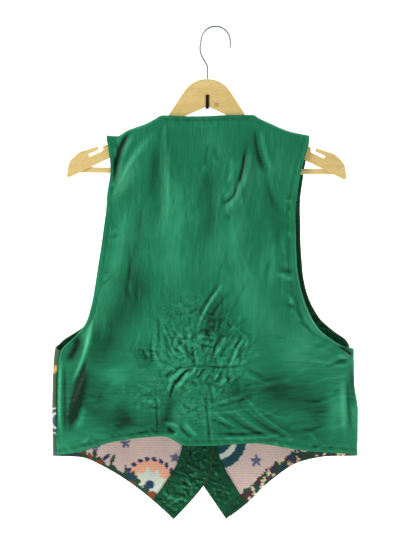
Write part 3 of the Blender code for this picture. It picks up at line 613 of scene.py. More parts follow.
@dataclass(frozen=True)
class Satin:
    """Acetate lining satin: long glossy floats over slubby yarns, soft bright creases."""

    name: str
    deep: str
    body: str
    light: str
    roughness: float = 0.45
    specular: float = 0.13
    turn_z: tuple[float, float] = (-0.53, -0.47)
    # Real slubs are half a millimetre wide and are drawn at 2 mm so that they show
    slub_mm: tuple[float, float] = (2.0, 45.0)
    crinkle_mm: tuple[float, float] = (6.0, 42.0)
    crush_mm: float = 11.0
    relief_mm: float = 1.5
    # Size of the cells, half the line's width and size of the patches that show, in mm
    crushed_lines: tuple[tuple[float, float, float], ...] = ((11.0, 1.3, 13.0), (6.5, 1.0, 9.0))

    def material(self) -> bpy.types.Material:
        """Build the satin: slubs, fine crinkles, cloudy dye, and painted shade and highlight in
        creases.

        Above the waist the slubs and crinkles fall with the warp. Below it they lie level.
        """
        made, tree, shader = blank(self.name, Specular_IOR_Level=self.specular)
        uv = add(tree, "UVMap", {"uv_map": "cloth"}).outputs["UV"]
        tone = add(tree, "Attribute", {"attribute_name": "tone"}).outputs["Fac"]
        height = add(tree, "SeparateXYZ", links={0: uv}).outputs["Y"]
        upper = remap(tree, height, *self.turn_z, kind="SMOOTHSTEP")
        slub = self._streaks(tree, uv, upper, *self.slub_mm, detail=2.0)
        crinkle = self._streaks(tree, uv, upper, *self.crinkle_mm, detail=4.0)
        cloud = noise(tree, uv, 11.0, Detail=3.0)
        crush = noise(tree, uv, 1000 / self.crush_mm, Detail=4.0, Roughness=0.6, Distortion=1.2)
        lines = self._lines(tree, uv)
        # Painted shade and highlight: tone darkens hollows and turns from the light and lightens
        # crests, crinkles darken where they sink, and the crushed lines are painted shade
        mixed = weighted(tree, ((slub, 0.22), (crinkle, 0.24), (cloud, 0.46), (tone, 0.74),
                                (lines, -0.30)))
        shade = ramp(tree, remap(tree, mixed, -0.03, 0.93),
                     ((0.0, self.deep), (0.5, self.body), (1.0, self.light)))
        tree.links.new(shade, shader.inputs["Base Color"])
        vary_roughness(tree, shader, slub, self.roughness)
        lift = weighted(tree, ((slub, 0.12), (crinkle, 0.75), (crush, 0.55), (lines, -0.45)))
        bump(tree, shader, lift, 0.9, self.relief_mm)
        return made

    def _streaks(self, tree: Tree, uv: Socket, upper: Socket, width_mm: float,
                 length_mm: float, detail: float) -> Socket:
        """Noise drawn out down the cloth above the waist and across it below."""
        wide, long = 1000 / width_mm, 1000 / length_mm
        below, above = (noise(tree, drawn_out(tree, uv, scale, 0.03), 1.0, Detail=detail,
                              Roughness=0.55)
                        for scale in ((long, wide, 1), (wide, long, 1)))
        return add(tree, "Mix", {"data_type": "FLOAT"}, {0: upper, 2: below, 3: above}).outputs[0]

    def _lines(self, tree: Tree, uv: Socket) -> Socket:
        """Sharp broken lines of crushed satin where the crush attribute asks: dented, and painted as
        shade.
        """
        crushed = add(tree, "Attribute", {"attribute_name": "crush"}).outputs["Fac"]
        waver = add(tree, "TexNoise", {"Scale": 1000 / 14, "Detail": 2.0}, {"Vector": uv})
        moved = calc(tree, "MULTIPLY_ADD", waver.outputs["Color"], (0.012, 0.012, 0.0), uv,
                     kind="VectorMath")
        found = []
        for size_mm, half_mm, seen_mm in self.crushed_lines:
            cell = add(tree, "TexVoronoi", {"feature": "DISTANCE_TO_EDGE",
                                            "voronoi_dimensions": "2D", "Scale": 1000 / size_mm},
                       {"Vector": moved}).outputs["Distance"]
            line = remap(tree, cell, 0.0, half_mm / size_mm, 1.0, 0.0)
            shown = remap(tree, noise(tree, uv, 1000 / seen_mm, Detail=1.0), 0.46, 0.60)
            found.append(calc(tree, "MULTIPLY", line, shown))
        return calc(tree, "MULTIPLY", calc(tree, "MAXIMUM", *found), crushed)


@dataclass(frozen=True)
class Tapestry:
    """Jacquard tapestry: thick matt yarns in ribs, each motif stepped by the threads."""

    name: str
    attribute: str
    # Real ribs are about 0.9 mm apart and are drawn at twice that so that they show
    rib_mm: float = 1.9
    thread_mm: float = 1.5
    slub_mm: tuple[float, float] = (9.0, 2.4)
    lilac: tuple[float, float, float] = (0.93, 0.93, 1.07)
    peach: tuple[float, float, float] = (1.08, 0.98, 0.88)

    def material(self) -> bpy.types.Material:
        """Build the tapestry: woven colours from an attribute, broken up thread by thread."""
        made, tree, shader = blank(self.name, Roughness=0.88, Sheen_Weight=0.2,
                                   Specular_IOR_Level=0.3)
        uv = add(tree, "UVMap", {"uv_map": "cloth"}).outputs["UV"]
        woven = add(tree, "Attribute", {"attribute_name": self.attribute}).outputs["Color"]
        grid = calc(tree, "ADD", self._ribs(tree, uv, "X"), self._ribs(tree, uv, "Y"))
        threads = noise(tree, uv, 1000 / self.thread_mm, Detail=1.0)
        tone = calc(tree, "MULTIPLY_ADD", threads, 0.55, noise(tree, uv, 14.0, Detail=2.0))
        # The threads and clouds vary at random; the ribs are painted lighter on their tops and darker
        # in their grooves, as light and shade
        shade = calc(tree, "MULTIPLY", remap(tree, tone, 0.45, 1.05, 0.90, 1.22),
                     remap(tree, grid, 0.0, 2.0, 0.92, 1.16))
        mixed = add(tree, "VectorMath", {"operation": "SCALE"}, {0: woven, "Scale": shade})
        # Single yarns vary from lilac to peach in short runs along the weft
        scale = (1000 / self.slub_mm[0], 1000 / self.slub_mm[1], 1)
        run = noise(tree, drawn_out(tree, uv, scale), 1.0, Detail=2.0)
        dyed = add(tree, "MapRange", {"data_type": "FLOAT_VECTOR", 7: (0.38,) * 3, 8: (0.62,) * 3,
                                      9: self.lilac, 10: self.peach}, {6: run})
        colour = calc(tree, "MULTIPLY", mixed.outputs[0], dyed.outputs["Vector"],
                      kind="VectorMath")
        tree.links.new(colour, shader.inputs["Base Color"])
        bump(tree, shader, calc(tree, "MULTIPLY_ADD", grid, 0.35, threads), 0.6, 0.8)
        return made

    def _ribs(self, tree: Tree, uv: Socket, axis: str) -> Socket:
        """Ribs side by side along one axis of the cloth."""
        return add(tree, "TexWave", {"wave_type": "BANDS", "bands_direction": axis,
                                     "Scale": 1000 / self.rib_mm / 20 * math.pi,
                                     "Distortion": 0.6, "Detail": 1.0}, {"Vector": uv}
                   ).outputs["Fac"]


@dataclass(frozen=True)
class Beech:
    """Steamed beech under clear lacquer: pale straw with short darker flecks."""

    name: str = "beech_lacquered"
    pale: str = "#E0C684"
    body: str = "#D5B56E"
    fleck: str = "#C9A75E"
    stain: str = "#A88A5C"
    # Ray flecks, long and narrow, drawn at about twice their real size
    fleck_mm: tuple[float, float] = (6.0, 1.2)
    mark_centre: tuple[float, float, float] = (0.0015, -0.008, -0.1234)
    mark_half: tuple[float, float, float] = (0.0035, 0.006, 0.0032)

    def material(self) -> bpy.types.Material:
        """Build the wood: long soft bands along the board and fine flecks in them."""
        made, tree, shader = blank(self.name, Roughness=0.42, Coat_Weight=0.25,
                                   Coat_Roughness=0.25)
        place = add(tree, "TexCoord").outputs["Object"]
        band = noise(tree, drawn_out(tree, place, (6.0, 40.0, 95.0)), 1.0, Detail=3.0,
                     Distortion=0.5)
        long, wide = (1000 / size for size in self.fleck_mm)
        fleck = noise(tree, drawn_out(tree, place, (long, wide, wide)), 1.0, Detail=2.0)
        base = ramp(tree, band, ((0.3, self.body), (0.7, self.pale)))
        mixed = add(tree, "Mix", {"data_type": "RGBA", 7: linear(self.fleck)},
                    {0: remap(tree, fleck, 0.58, 0.70), 6: base})
        tree.links.new(self._mark(tree, place, mixed.outputs[2]), shader.inputs["Base Color"])
        bump(tree, shader, band, 0.25, 0.2)
        return made

    def _mark(self, tree: Tree, place: Socket, wood: Socket) -> Socket:
        """Stain a small square beside the notch of the crest, 7 by 6 mm, on the near face."""
        away = calc(tree, "SUBTRACT", place, self.mark_centre, kind="VectorMath")
        share = calc(tree, "DIVIDE", away, self.mark_half, kind="VectorMath")
        size = calc(tree, "ABSOLUTE", share, kind="VectorMath")
        parts = add(tree, "SeparateXYZ", links={0: size}).outputs
        most = calc(tree, "MAXIMUM", calc(tree, "MAXIMUM", parts[0], parts[1]), parts[2])
        return add(tree, "Mix", {"data_type": "RGBA", 7: linear(self.stain)},
                   {0: remap(tree, most, 1.15, 0.9, 0.0, 0.75), 6: wood}).outputs[2]


@dataclass(frozen=True)
class Metal:
    """Drawn or coated steel: a fine drag along the surface breaks the gloss."""

    name: str
    colour: str
    roughness: float
    metallic: float

    def material(self) -> bpy.types.Material:
        """Build the metal with a faint drawn grain."""
        made, tree, shader = blank(self.name, Base_Color=linear(self.colour),
                                   Metallic=self.metallic)
        place = add(tree, "TexCoord").outputs["Object"]
        vary_roughness(tree, shader, noise(tree, place, 900.0, Detail=2.0), self.roughness)
        return made


@dataclass(frozen=True)
class Horn:
    """Polished buttons of dark horn-like casein: cloudy layers under a soft gloss."""

    name: str = "button_casein"
    dark: str = "#1E2A22"
    pale: str = "#4A5A3C"

    def material(self) -> bpy.types.Material:
        """Build the button material with cloudy streaks."""
        made, tree, shader = blank(self.name, Roughness=0.3)
        place = add(tree, "TexCoord").outputs["Object"]
        cloud = noise(tree, place, 160.0, Detail=4.0, Distortion=2.0)
        tree.links.new(ramp(tree, cloud, ((0.35, self.dark), (0.7, self.pale))),
                       shader.inputs["Base Color"])
        return made


@dataclass(frozen=True)
class Thread:
    """Spun polyester thread: matt with a slight twist."""

    name: str
    colour: str

    def material(self) -> bpy.types.Material:
        """Build the thread with a twist too fine to show but for its bump."""
        made, tree, shader = blank(self.name, Base_Color=linear(self.colour), Roughness=0.7)
        place = add(tree, "TexCoord").outputs["Object"]
        bump(tree, shader, noise(tree, place, 1500.0), 0.4, 0.2)
        return made


# Woven motifs

@dataclass(frozen=True)
class Palette:
    """The yarns of one face of the tapestry."""

    ground: str
    star: str
    disc: str
    petal: str
    pale: str
    leaf: str
    berry: str
    navy: str
    cream: str
    brown: str


RIGHT_FACE = Palette("#23431F", "#A98543", "#123E52", "#8E4A42", "#A9B0A6",
                     "#16301A", "#4C1826", "#142F52", "#B5A685", "#5E3216")
WRONG_FACE = Palette("#CDB9B1", "#5A6280", "#17454F", "#DFA98A", "#C4D3C4",
                     "#1E4430", "#54202F", "#22355C", "#DCC9A6", "#7A4420")


@dataclass
class Weaving:
    """Paints a front's woven design, point by point, in its own plane.

    Stars, plain discs, petals and leaves are set out by the tables below, in the colours
    and the sizes of the cloth's own motifs.
    """

    palette: Palette
    x: Array
    z: Array
    step_mm: float = 1.7
    edge_mm: float = 0.8

    def __post_init__(self) -> None:
        """Start with the ground, on threads that step every design line."""
        self.px = np.round(self.x / self.step_mm) * self.step_mm
        self.pz = np.round(self.z / self.step_mm) * self.step_mm
        self.colour = np.tile(np.array(linear(self.palette.ground)), (*self.x.shape, 1))

    def lay(self, mask: Array, yarn: str) -> None:
        """Lay a yarn's colour where a mask is 1."""
        share = np.clip(mask, 0, 1)[..., None]
        self.colour = self.colour * (1 - share) + np.array(linear(yarn)) * share

    def _inside(self, depth: Array) -> Array:
        """1 inside an outline and 0 outside it, from how deep inside each thread lies."""
        return depth / self.edge_mm + 0.5

    def disc(self, x: float, z: float, radius: float, yarn: str) -> None:
        """Weave a round disc."""
        self.lay(self._inside(radius - np.hypot(self.px - x, self.pz - z)), yarn)

    def star(self, x: float, z: float, radius: float, yarn: str, lean: float) -> None:
        """Weave a five-pointed star."""
        dx, dz = self.px - x, self.pz - z
        angle = np.arctan2(dx, dz) + math.radians(lean)
        slice_angle = np.abs((angle / (2 * math.pi / 5) + 0.5) % 1 - 0.5) * 2
        edge = radius * (1 - 0.62 * slice_angle ** 0.75)
        self.lay(self._inside(edge - np.hypot(dx, dz)), yarn)

    def leaf(self, x: float, z: float, length: float, width: float, angle: float,
             yarn: str) -> None:
        """Weave a pointed leaf that starts at x, z."""
        ca, sa = math.cos(math.radians(angle)), math.sin(math.radians(angle))
        t = ((self.px - x) * ca + (self.pz - z) * sa) / length
        aside = np.abs((self.pz - z) * ca - (self.px - x) * sa)
        half = width / 2 * np.sin(np.pi * np.clip(t, 0, 1)) ** 0.8
        self.lay(self._inside(half - aside) * ((t > 0) & (t < 1)), yarn)

    def flower(self, x: float, z: float, radius: float, petals: int, yarn: str,
               eye: str) -> None:
        """Weave a round flower of plain petals."""
        for k in range(petals):
            self.leaf(x, z, radius, radius * 0.55, 360 / petals * k + 18, yarn)
        self.disc(x, z, radius * 0.26, eye)


Star = namedtuple("Star", "x z radius lean")
STARS = table(
    Star,
    (-131, -662, 9.5, 8), (-51, -685, 10.0, -6), (78, -690, 11.5, 3), (-78, -566, 9.0, 12),
    (-186, -598, 9.5, -9), (58, -598, 9.0, 6), (176, -586, 9.5, -12), (-122, -470, 9.0, 4),
    (-44, -438, 8.5, 15), (128, -484, 9.5, -4), (52, -446, 8.5, 9), (-92, -352, 9.0, -8),
    (96, -356, 9.0, 5), (-132, -262, 8.5, 10), (126, -250, 8.5, -5), (-80, -208, 8.0, 4),
    (88, -204, 8.0, -10), (-212, -532, 9.0, 5), (-240, -544, 8.0, 5), (204, -520, 9.0, 5),
    (24, -516, 8.5, -14), (160, -648, 9.0, 9), (-178, -668, 8.0, -9),
)
Bloom = namedtuple("Bloom", "x z radius petals")
BLOOMS = table(
    Bloom,
    (-92, -728, 34, 9), (-150, -540, 20, 8), (-60, -500, 18, 7), (106, -540, 20, 8),
    (-112, -412, 17, 7), (106, -420, 17, 7), (-112, -306, 16, 7), (122, -306, 16, 7),
    (186, -630, 18, 8),
)
Disc = namedtuple("Disc", "x z radius")
DISCS = table(
    Disc,
    (14, -655, 49), (-134, -614, 20), (62, -498, 18), (-78, -630, 15), (-236, -625, 20),
    (-150, -440, 15), (160, -440, 15),
)


def weave(palette: Palette, x: Array, z: Array, lower_edge: Array) -> Array:
    """Paint one face of a front.

    Args:
        palette: The yarns of that face.
        x: Places across the garment, in millimetres.
        z: Levels.
        lower_edge: How far above the front's lower edge each place lies.

    Returns:
        Linear RGBA for each place.
    """
    work = Weaving(palette, x, z)
    for disc in DISCS:
        for share, rim, yarn in ((1, 1.6, palette.pale), (1, 0, palette.disc),
                                 (0.70, 0, palette.pale), (0.52, 0, palette.disc)):
            work.disc(disc.x, disc.z, disc.radius * share + rim, yarn)
    for bloom in BLOOMS:
        work.disc(bloom.x, bloom.z, bloom.radius * 1.18, palette.petal)
        work.flower(bloom.x, bloom.z, bloom.radius * 0.8, bloom.petals, palette.pale, palette.navy)
        ring = bloom.radius * 1.12
        for angle in range(10, 186, 16):
            work.leaf(bloom.x + ring * math.cos(math.radians(angle)),
                      bloom.z + ring * math.sin(math.radians(angle)),
                      bloom.radius * 0.3, bloom.radius * 0.2, angle + 60, palette.navy)
    for star in STARS:
        work.star(star.x, star.z, star.radius, palette.star, star.lean)
    border(work, lower_edge)
    return work.colour


def border(work: Weaving, lower_edge: Array) -> None:
    """Weave the leafy band that follows the fronts' lower edge.

    Args:
        work: The face in hand.
        lower_edge: How far above the lower edge each place lies, in millimetres.
    """
    palette = work.palette
    draw = np.random.default_rng(11)
    left = work.x < 0
    ragged = 2.2 * np.sin(work.px / 4.1) + 1.6 * np.sin(work.px / 1.9 + work.pz / 3.7)
    reach = np.where(left, 8.0, 17.0)
    work.lay((lower_edge < reach + ragged).astype(float), palette.leaf)
    plain = (palette.leaf, palette.disc, palette.brown, palette.navy)
    rich = (palette.leaf, palette.berry, palette.cream, palette.navy, palette.disc,
            palette.cream, palette.berry, palette.navy)
    for side, yarns, count, size in ((left, plain, 60, 1.5), (~left, rich, 190, 1.0)):
        places = np.argwhere((lower_edge < reach) & side)
        for row, column in places[draw.permutation(len(places))[:count]]:
            work.leaf(float(work.x[row, column]), float(work.z[row, column]),
                      draw.uniform(6, 13) * size, draw.uniform(3.4, 6.0) * size,
                      draw.uniform(0, 360), yarns[draw.integers(len(yarns))])


# Cloth

def fresh_grid(name: str, columns: int, rows: int) -> bpy.types.Object:
    """A flat grid to bend into cloth, all other things deselected."""
    bpy.ops.object.select_all(action="DESELECT")
    bpy.ops.mesh.primitive_grid_add(x_subdivisions=columns, y_subdivisions=rows, size=1)
    made = bpy.context.object
    made.name = made.data.name = name
    return made


def select_only(piece: bpy.types.Object) -> None:
    """Make a piece the active one and the only selected one."""
    bpy.ops.object.select_all(action="DESELECT")
    bpy.context.view_layer.objects.active = piece
    piece.select_set(True)


def apply(piece: bpy.types.Object, modifier: bpy.types.Modifier) -> None:
    """Apply one modifier to a piece."""
    select_only(piece)
    bpy.ops.object.modifier_apply(modifier=modifier.name)


def in_scene(name: str, data: bpy.types.ID) -> bpy.types.Object:
    """Put a new object with its data into the scene."""
    made = bpy.data.objects.new(name, data)
    bpy.context.scene.collection.objects.link(made)
    return made


def dress(piece: bpy.types.Object, slot: str, *materials: bpy.types.Material) -> None:
    """Give a piece its materials and its body."""
    for material in materials:
        piece.data.materials.append(material)
    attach(piece, BODY)
    LOG.info("%s: %d faces", piece.name, len(piece.data.polygons))


def cloth_mesh(name: str, points: Array, uv: Array, fields: dict[str, Array],
               colours: dict[str, Array] | None = None) -> bpy.types.Object:
    """A fine grid laid on points, as cloth without thickness yet.

    Args:
        name: The piece's name.
        points: Rows and columns of points in the garment, in millimetres.
        uv: The lie of each point on the flat cloth, in metres.
        fields: Point values by attribute name.
        colours: Point colours by attribute name.

    Returns:
        The piece.
    """
    rows, columns = points.shape[0] - 1, points.shape[1] - 1
    piece = fresh_grid(name, columns, rows)
    mesh = piece.data
    flat = np.empty(len(mesh.vertices) * 3)
    mesh.vertices.foreach_get("co", flat)
    flat = flat.reshape(-1, 3)
    i = np.rint((flat[:, 0] + 0.5) * columns).astype(int)
    j = np.rint((0.5 - flat[:, 1]) * rows).astype(int)
    mesh.vertices.foreach_set("co", ((points[j, i] + GARMENT_PLACE) * MM).ravel())
    for key, values in (colours or {}).items():
        layer = mesh.color_attributes.new(key, "FLOAT_COLOR", "POINT")
        layer.data.foreach_set("color", values[j, i].ravel())
    for key, values in fields.items():
        layer = mesh.attributes.new(key, "FLOAT", "POINT")
        layer.data.foreach_set("value", values[j, i].ravel())
    loops = np.empty(len(mesh.loops), int)
    mesh.loops.foreach_get("vertex_index", loops)
    layer = mesh.uv_layers[0] if mesh.uv_layers else mesh.uv_layers.new()
    layer.name = "cloth"
    layer.data.foreach_set("uv", uv[j, i][loops].ravel())
    mesh.update()
    return piece


def thicken(piece: bpy.types.Object, wall: float, outward: int, lining: int = 0) -> None:
    """Turn cloth to its outer side and give it its thickness.

    Args:
        piece: The cloth.
        wall: Its thickness in millimetres.
        outward: The sign of Y on its outer side.
        lining: How many materials further on the inner side's material is.
    """
    mesh = piece.data
    if mesh.polygons[len(mesh.polygons) // 2].normal.y * outward < 0:
        mesh.flip_normals()
    shell = piece.modifiers.new("wall", "SOLIDIFY")
    shell.thickness = wall * MM
    shell.offset = 0.0
    shell.material_offset = lining
    shell.material_offset_rim = 0
    apply(piece, shell)
    bpy.ops.object.shade_smooth()


@dataclass
class Panel:
    """A piece of cloth between four edges on the skin, as a fine grid of points.

    u runs across it and v down it; rows that roll over the shoulder come first.
    """

    name: str
    side: Side
    outward: int
    top: Edge
    bottom: Edge
    start: Edge
    end: Edge
    reach: tuple[int, int]
    shoulder: Callable[[Array], Array]
    folds: Sequence[Crease]
    creases: Sequence[Crease]
    shades: Sequence[Crease]
    columns: int
    rows: int
    wall: float
    step: Callable[[Array], Array] | None = None
    crushed: Sequence[tuple[float, float, float]] = ()
    dense_u: tuple[float, float, float] = (0.0, 1.0, 0.0)
    dense_v: tuple[float, float, float] = (0.0, 1.0, 0.0)
    roll: float = 6.0
    roll_rows: int = 7
    ease: float = 0.18
    seam_quiet: float = 9.0

    def __post_init__(self) -> None:
        """Work out every point, its outward direction and its lie on the flat cloth."""
        u = spaced(self.columns, *self.dense_u)[None, :]
        v = spaced(self.rows, *self.dense_v)[:, None]
        turn, z = self._place(u, v)
        points = self._on_skin(turn, z, blend(v, 0.0, 0.08))
        top_turn, top_z = self._place(u, np.zeros((1, 1)))
        angles = np.linspace(0, math.pi / 2, self.roll_rows + 1)[:-1, None]
        rim = np.repeat(self._on_skin(top_turn, top_z, 0.0), self.roll_rows, axis=0)
        rim[..., 2] += self.roll * np.cos(angles)
        shrink = 1 - self.shoulder(u) * (1 - np.sin(angles))
        rim[..., 1] = self.side.value * (np.abs(rim[..., 1]) * shrink + self.ease)
        self.base = np.concatenate((rim, points))
        self.v = np.concatenate((np.zeros((self.roll_rows, 1)), v))
        self.u = u
        self.normals = self._normals(self.base)
        self.points = self.base.copy()
        x, z = self.base[..., 0], self.base[..., 2]
        # Painted shade and highlight in the tone attribute: the broad shades first, then each crease's
        # hollow darker and crest lighter
        self.tone = relief(self.shades, x, z) * 0.5
        # The crush attribute asks the satin for fine crease lines: bump dents and painted shade
        self.crush = np.zeros_like(x)
        for place_x, place_z, reach in self.crushed:
            away = ((x - place_x) ** 2 + (z - place_z) ** 2) / (1.25 * reach) ** 2
            self.crush = np.maximum(self.crush, np.exp(-away))
        self.raise_by(relief(self.creases, x, z, PRESSED) * self._quiet(), 0.40)

    def _place(self, u: Array, v: Array) -> tuple[Array, Array]:
        """Turn and level inside the four edges."""
        near, far = self.top(u), self.bottom(u)
        first, last = self.start(v), self.end(v)
        corners = (self.top(START), self.top(END), self.bottom(START), self.bottom(END))
        weights = ((1 - u) ** self.reach[0], u ** self.reach[1])
        found = []
        for axis in (0, 1):
            left = corners[0][axis] * (1 - v) + corners[2][axis] * v
            right = corners[1][axis] * (1 - v) + corners[3][axis] * v
            found.append((1 - v) * near[axis] + v * far[axis]
                         + weights[0] * (first[axis] - left) + weights[1] * (last[axis] - right))
        return found[0], found[1]

    def _on_skin(self, turn: Array, z: Array, lift: Array | float) -> Array:
        """Points of the skin at turns and levels, large folds included."""
        middle, half = ring_size(z)
        angle = turn * math.pi / 2
        x = middle + half * np.sin(angle)
        behind = self.side.value * np.cos(angle) < 0
        depth = np.where(behind, along(RING, "z", z, "back"), along(RING, "z", z, "front"))
        depth = depth * np.cos(angle)
        depth = depth + relief(self.folds, x, z) * lift * blend(np.cos(angle), 0.1, 0.5)
        if self.step:
            depth = depth - self.step(x)
        return np.stack((x, self.side.value * depth, z), axis=-1)

    def _normals(self, points: Array) -> Array:
        """Outward unit normals of a grid of points."""
        across = np.gradient(points, axis=1)
        down = np.gradient(points, axis=0)
        normal = np.cross(across, down) * self.outward
        return normal / np.linalg.norm(normal, axis=-1, keepdims=True)

    def from_side(self) -> Array:
        """How far each point lies from the nearer side edge, in millimetres."""
        width = np.linalg.norm(np.diff(self.base, axis=1), axis=-1).sum(axis=1)[:, None]
        return np.minimum(self.u, 1 - self.u) * width

    def from_top(self) -> Array:
        """How far down the cloth each point lies from the top edge, in millimetres."""
        fall = np.cumsum(np.linalg.norm(np.diff(self.base, axis=0), axis=-1), axis=0)
        return np.concatenate((np.zeros((1, self.base.shape[1])), fall))

    def from_hem(self) -> Array:
        """How far up the cloth each point lies from the lower edge, in millimetres."""
        fall = self.from_top()
        return fall[-1][None, :] - fall

    def _quiet(self) -> Array:
        """Where creases may stand: less at the edges, where the panels meet."""
        beside = 0.12 + 0.88 * blend(self.from_side(), 1.0, self.seam_quiet)
        return beside * blend(self.from_top(), 2.0, 26.0)

    def raise_by(self, lift: Array, tint: float = 0.30) -> None:
        """Move the points outwards, and paint shade into the hollows and highlight onto the crests.

        Args:
            lift: How far, in millimetres.
            tint: How much painted highlight a millimetre above the cloth around it gives, and shade
                below.
        """
        self.points = self.points + self.normals * lift[..., None]
        self.tone = self.tone + (lift - softened(lift, 3)) * tint

    def cloth_uv(self) -> Array:
        """The lie of each point on the flat cloth, in metres."""
        across = np.linalg.norm(np.diff(self.base, axis=1), axis=-1)
        u = np.concatenate((np.zeros((self.base.shape[0], 1)), np.cumsum(across, axis=1)), axis=1)
        u = u - u[:, u.shape[1] // 2][:, None]
        return np.stack((u * MM, self.base[..., 2] * MM), axis=-1)

    def at(self, u: Array, v: Array) -> tuple[Array, Array]:
        """Points and outward normals of the finished cloth, read between its grid points.

        Args:
            u: Shares across.
            v: Shares down, below the shoulder roll.

        Returns:
            Points in millimetres, and unit normals.
        """
        normals = self._normals(self.points)
        column = np.interp(u, self.u[0], np.arange(self.columns + 1))
        row = self.roll_rows + np.interp(v, self.v[self.roll_rows:, 0], np.arange(self.rows + 1))
        i = np.clip(column.astype(int), 0, self.columns - 1)
        j = np.clip(row.astype(int), 0, self.points.shape[0] - 2)
        s, t = (column - i)[:, None], (row - j)[:, None]
        found = []
        for field in (self.points, normals):
            found.append((field[j, i] * (1 - s) + field[j, i + 1] * s) * (1 - t)
                         + (field[j + 1, i] * (1 - s) + field[j + 1, i + 1] * s) * t)
        return found[0], found[1]

    def build(self, slot: str, outer: bpy.types.Material, inner: bpy.types.Material,
              colours: dict[str, Array] | None = None) -> bpy.types.Object:
        """Make the cloth as a thin shell that stands for its CAD node.

        Args:
            slot: Not used.
            outer: The material of the outside.
            inner: The material of the inside.
            colours: Point colours by attribute name.

        Returns:
            The finished piece.
        """
        # The tone attribute holds painted shade and highlight, and crush asks for the satin's painted
        # crease lines
        piece = cloth_mesh(self.name + "_cloth", self.points, self.cloth_uv(),
                           {"tone": self.tone, "crush": self.crush}, colours)
        piece.data.materials.append(outer)
        piece.data.materials.append(inner)
        thicken(piece, self.wall, self.side.value, lining=1)
        dress(piece, slot)
        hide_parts(self.name)
        return piece


# Where the satin is gathered and crushed the most: x, z and reach
GATHERED = (
    (-24, -520, 30), (-40, -500, 26), (-50, -560, 30), (10, -520, 30), (-52, -462, 24),
    (-10, -456, 24), (24, -474, 22), (20, -560, 26), (-90, -520, 16), (-90, -590, 18),
    (-10, -600, 34),
)
# Groups of small creases as crumples() takes them: how many, the seed, their middles, the
# ranges of length, width and height, and their slant and how far it strays
CRUMPLED = (
    (330, 3, GATHERED, (8, 26), (1.6, 2.6), (0.20, 0.62), 20, 70),
    # The fans right and left of the waist seam, and the creases under it
    (52, 31, ((16, -500, 16), (36, -506, 16), (52, -514, 12), (24, -470, 14)),
     (14, 34), (1.6, 2.4), (0.5, 1.3), 62, 12),
    (44, 33, ((-74, -494, 14), (-54, -508, 14), (-40, -486, 14), (-30, -520, 12)),
     (12, 28), (1.6, 2.4), (0.5, 1.2), -60, 16),
    (34, 35, ((-6, -556, 12), (14, -556, 12), (-34, -566, 12), (34, -562, 12)),
     (10, 26), (1.6, 2.4), (0.6, 1.4), 46, 16),
    # The upper and the lower half of the back
    (120, 5, ((-110, -300, 40), (-60, -260, 40), (0, -280, 40), (60, -260, 40),
              (100, -350, 34), (-50, -420, 44), (60, -430, 44), (-130, -420, 30)),
     (24, 90), (2.6, 5.5), (0.15, 0.55), -88, 12),
    (130, 9, ((-160, -590, 34), (120, -580, 44), (180, -560, 30), (170, -620, 34),
              (60, -620, 40), (-190, -620, 20), (190, -520, 24)),
     (18, 60), (2.2, 3.6), (0.15, 0.50), 8, 16),
    # Beside the armholes and by the hem
    (60, 7, ((-150, -250, 8), (-158, -330, 8), (134, -280, 8), (132, -330, 8),
             (134, -390, 8), (-166, -400, 8), (142, -440, 8)),
     (8, 20), (2.0, 3.0), (0.25, 0.6), 10, 30),
    (60, 13, ((-200, -664, 14), (-150, -648, 14), (-110, -644, 14), (0, -655, 16),
              (60, -652, 16), (120, -658, 16), (180, -664, 16)),
     (8, 26), (2.0, 3.0), (0.25, 0.7), 15, 40),
)


def back_panel() -> Panel:
    """The satin back, from shoulder seams and neck to the hem."""
    low, high = SHOULDER_SHARES
    ease = 8.0 / (BACK_TOP[-1].x - BACK_TOP[0].x)
    top, hem = edge_of_points(BACK_TOP, SHOULDER_DROP), edge_of_points(BACK_HEM)
    left, right = side_edge(Side.BACK, Hand.LEFT), side_edge(Side.BACK, Hand.RIGHT)
    (turn_left, z_left), (turn_right, z_right) = hem(START), hem(END)

    def bottom(share: Array) -> tuple[Array, Array]:
        turn, z = hem(share)
        turn = turn + (left(z_left) - turn_left) * (1 - blend(share, 0.0, 0.2))
        return turn + (right(z_right) - turn_right) * blend(share, 0.8, 1.0), z

    small = [crease for group in CRUMPLED for crease in crumples(*group)]
    return Panel(
        "back", Side.BACK, -1, top, bottom,
        edge_of_turns(left, float(top(START)[1][0]), float(z_left[0])),
        edge_of_turns(right, float(top(END)[1][0]), float(z_right[0])),
        (3, 3), lambda u: 1 - blend(u, low, low + ease) + blend(u, high - ease, high),
        BACK_FOLDS, (*BACK_CREASES, *small), BACK_SHADES, 222, 198, 1.1, crushed=GATHERED,
        dense_u=(0.27, 0.63, 0.8), dense_v=(0.60, 0.97, 1.4),
    )


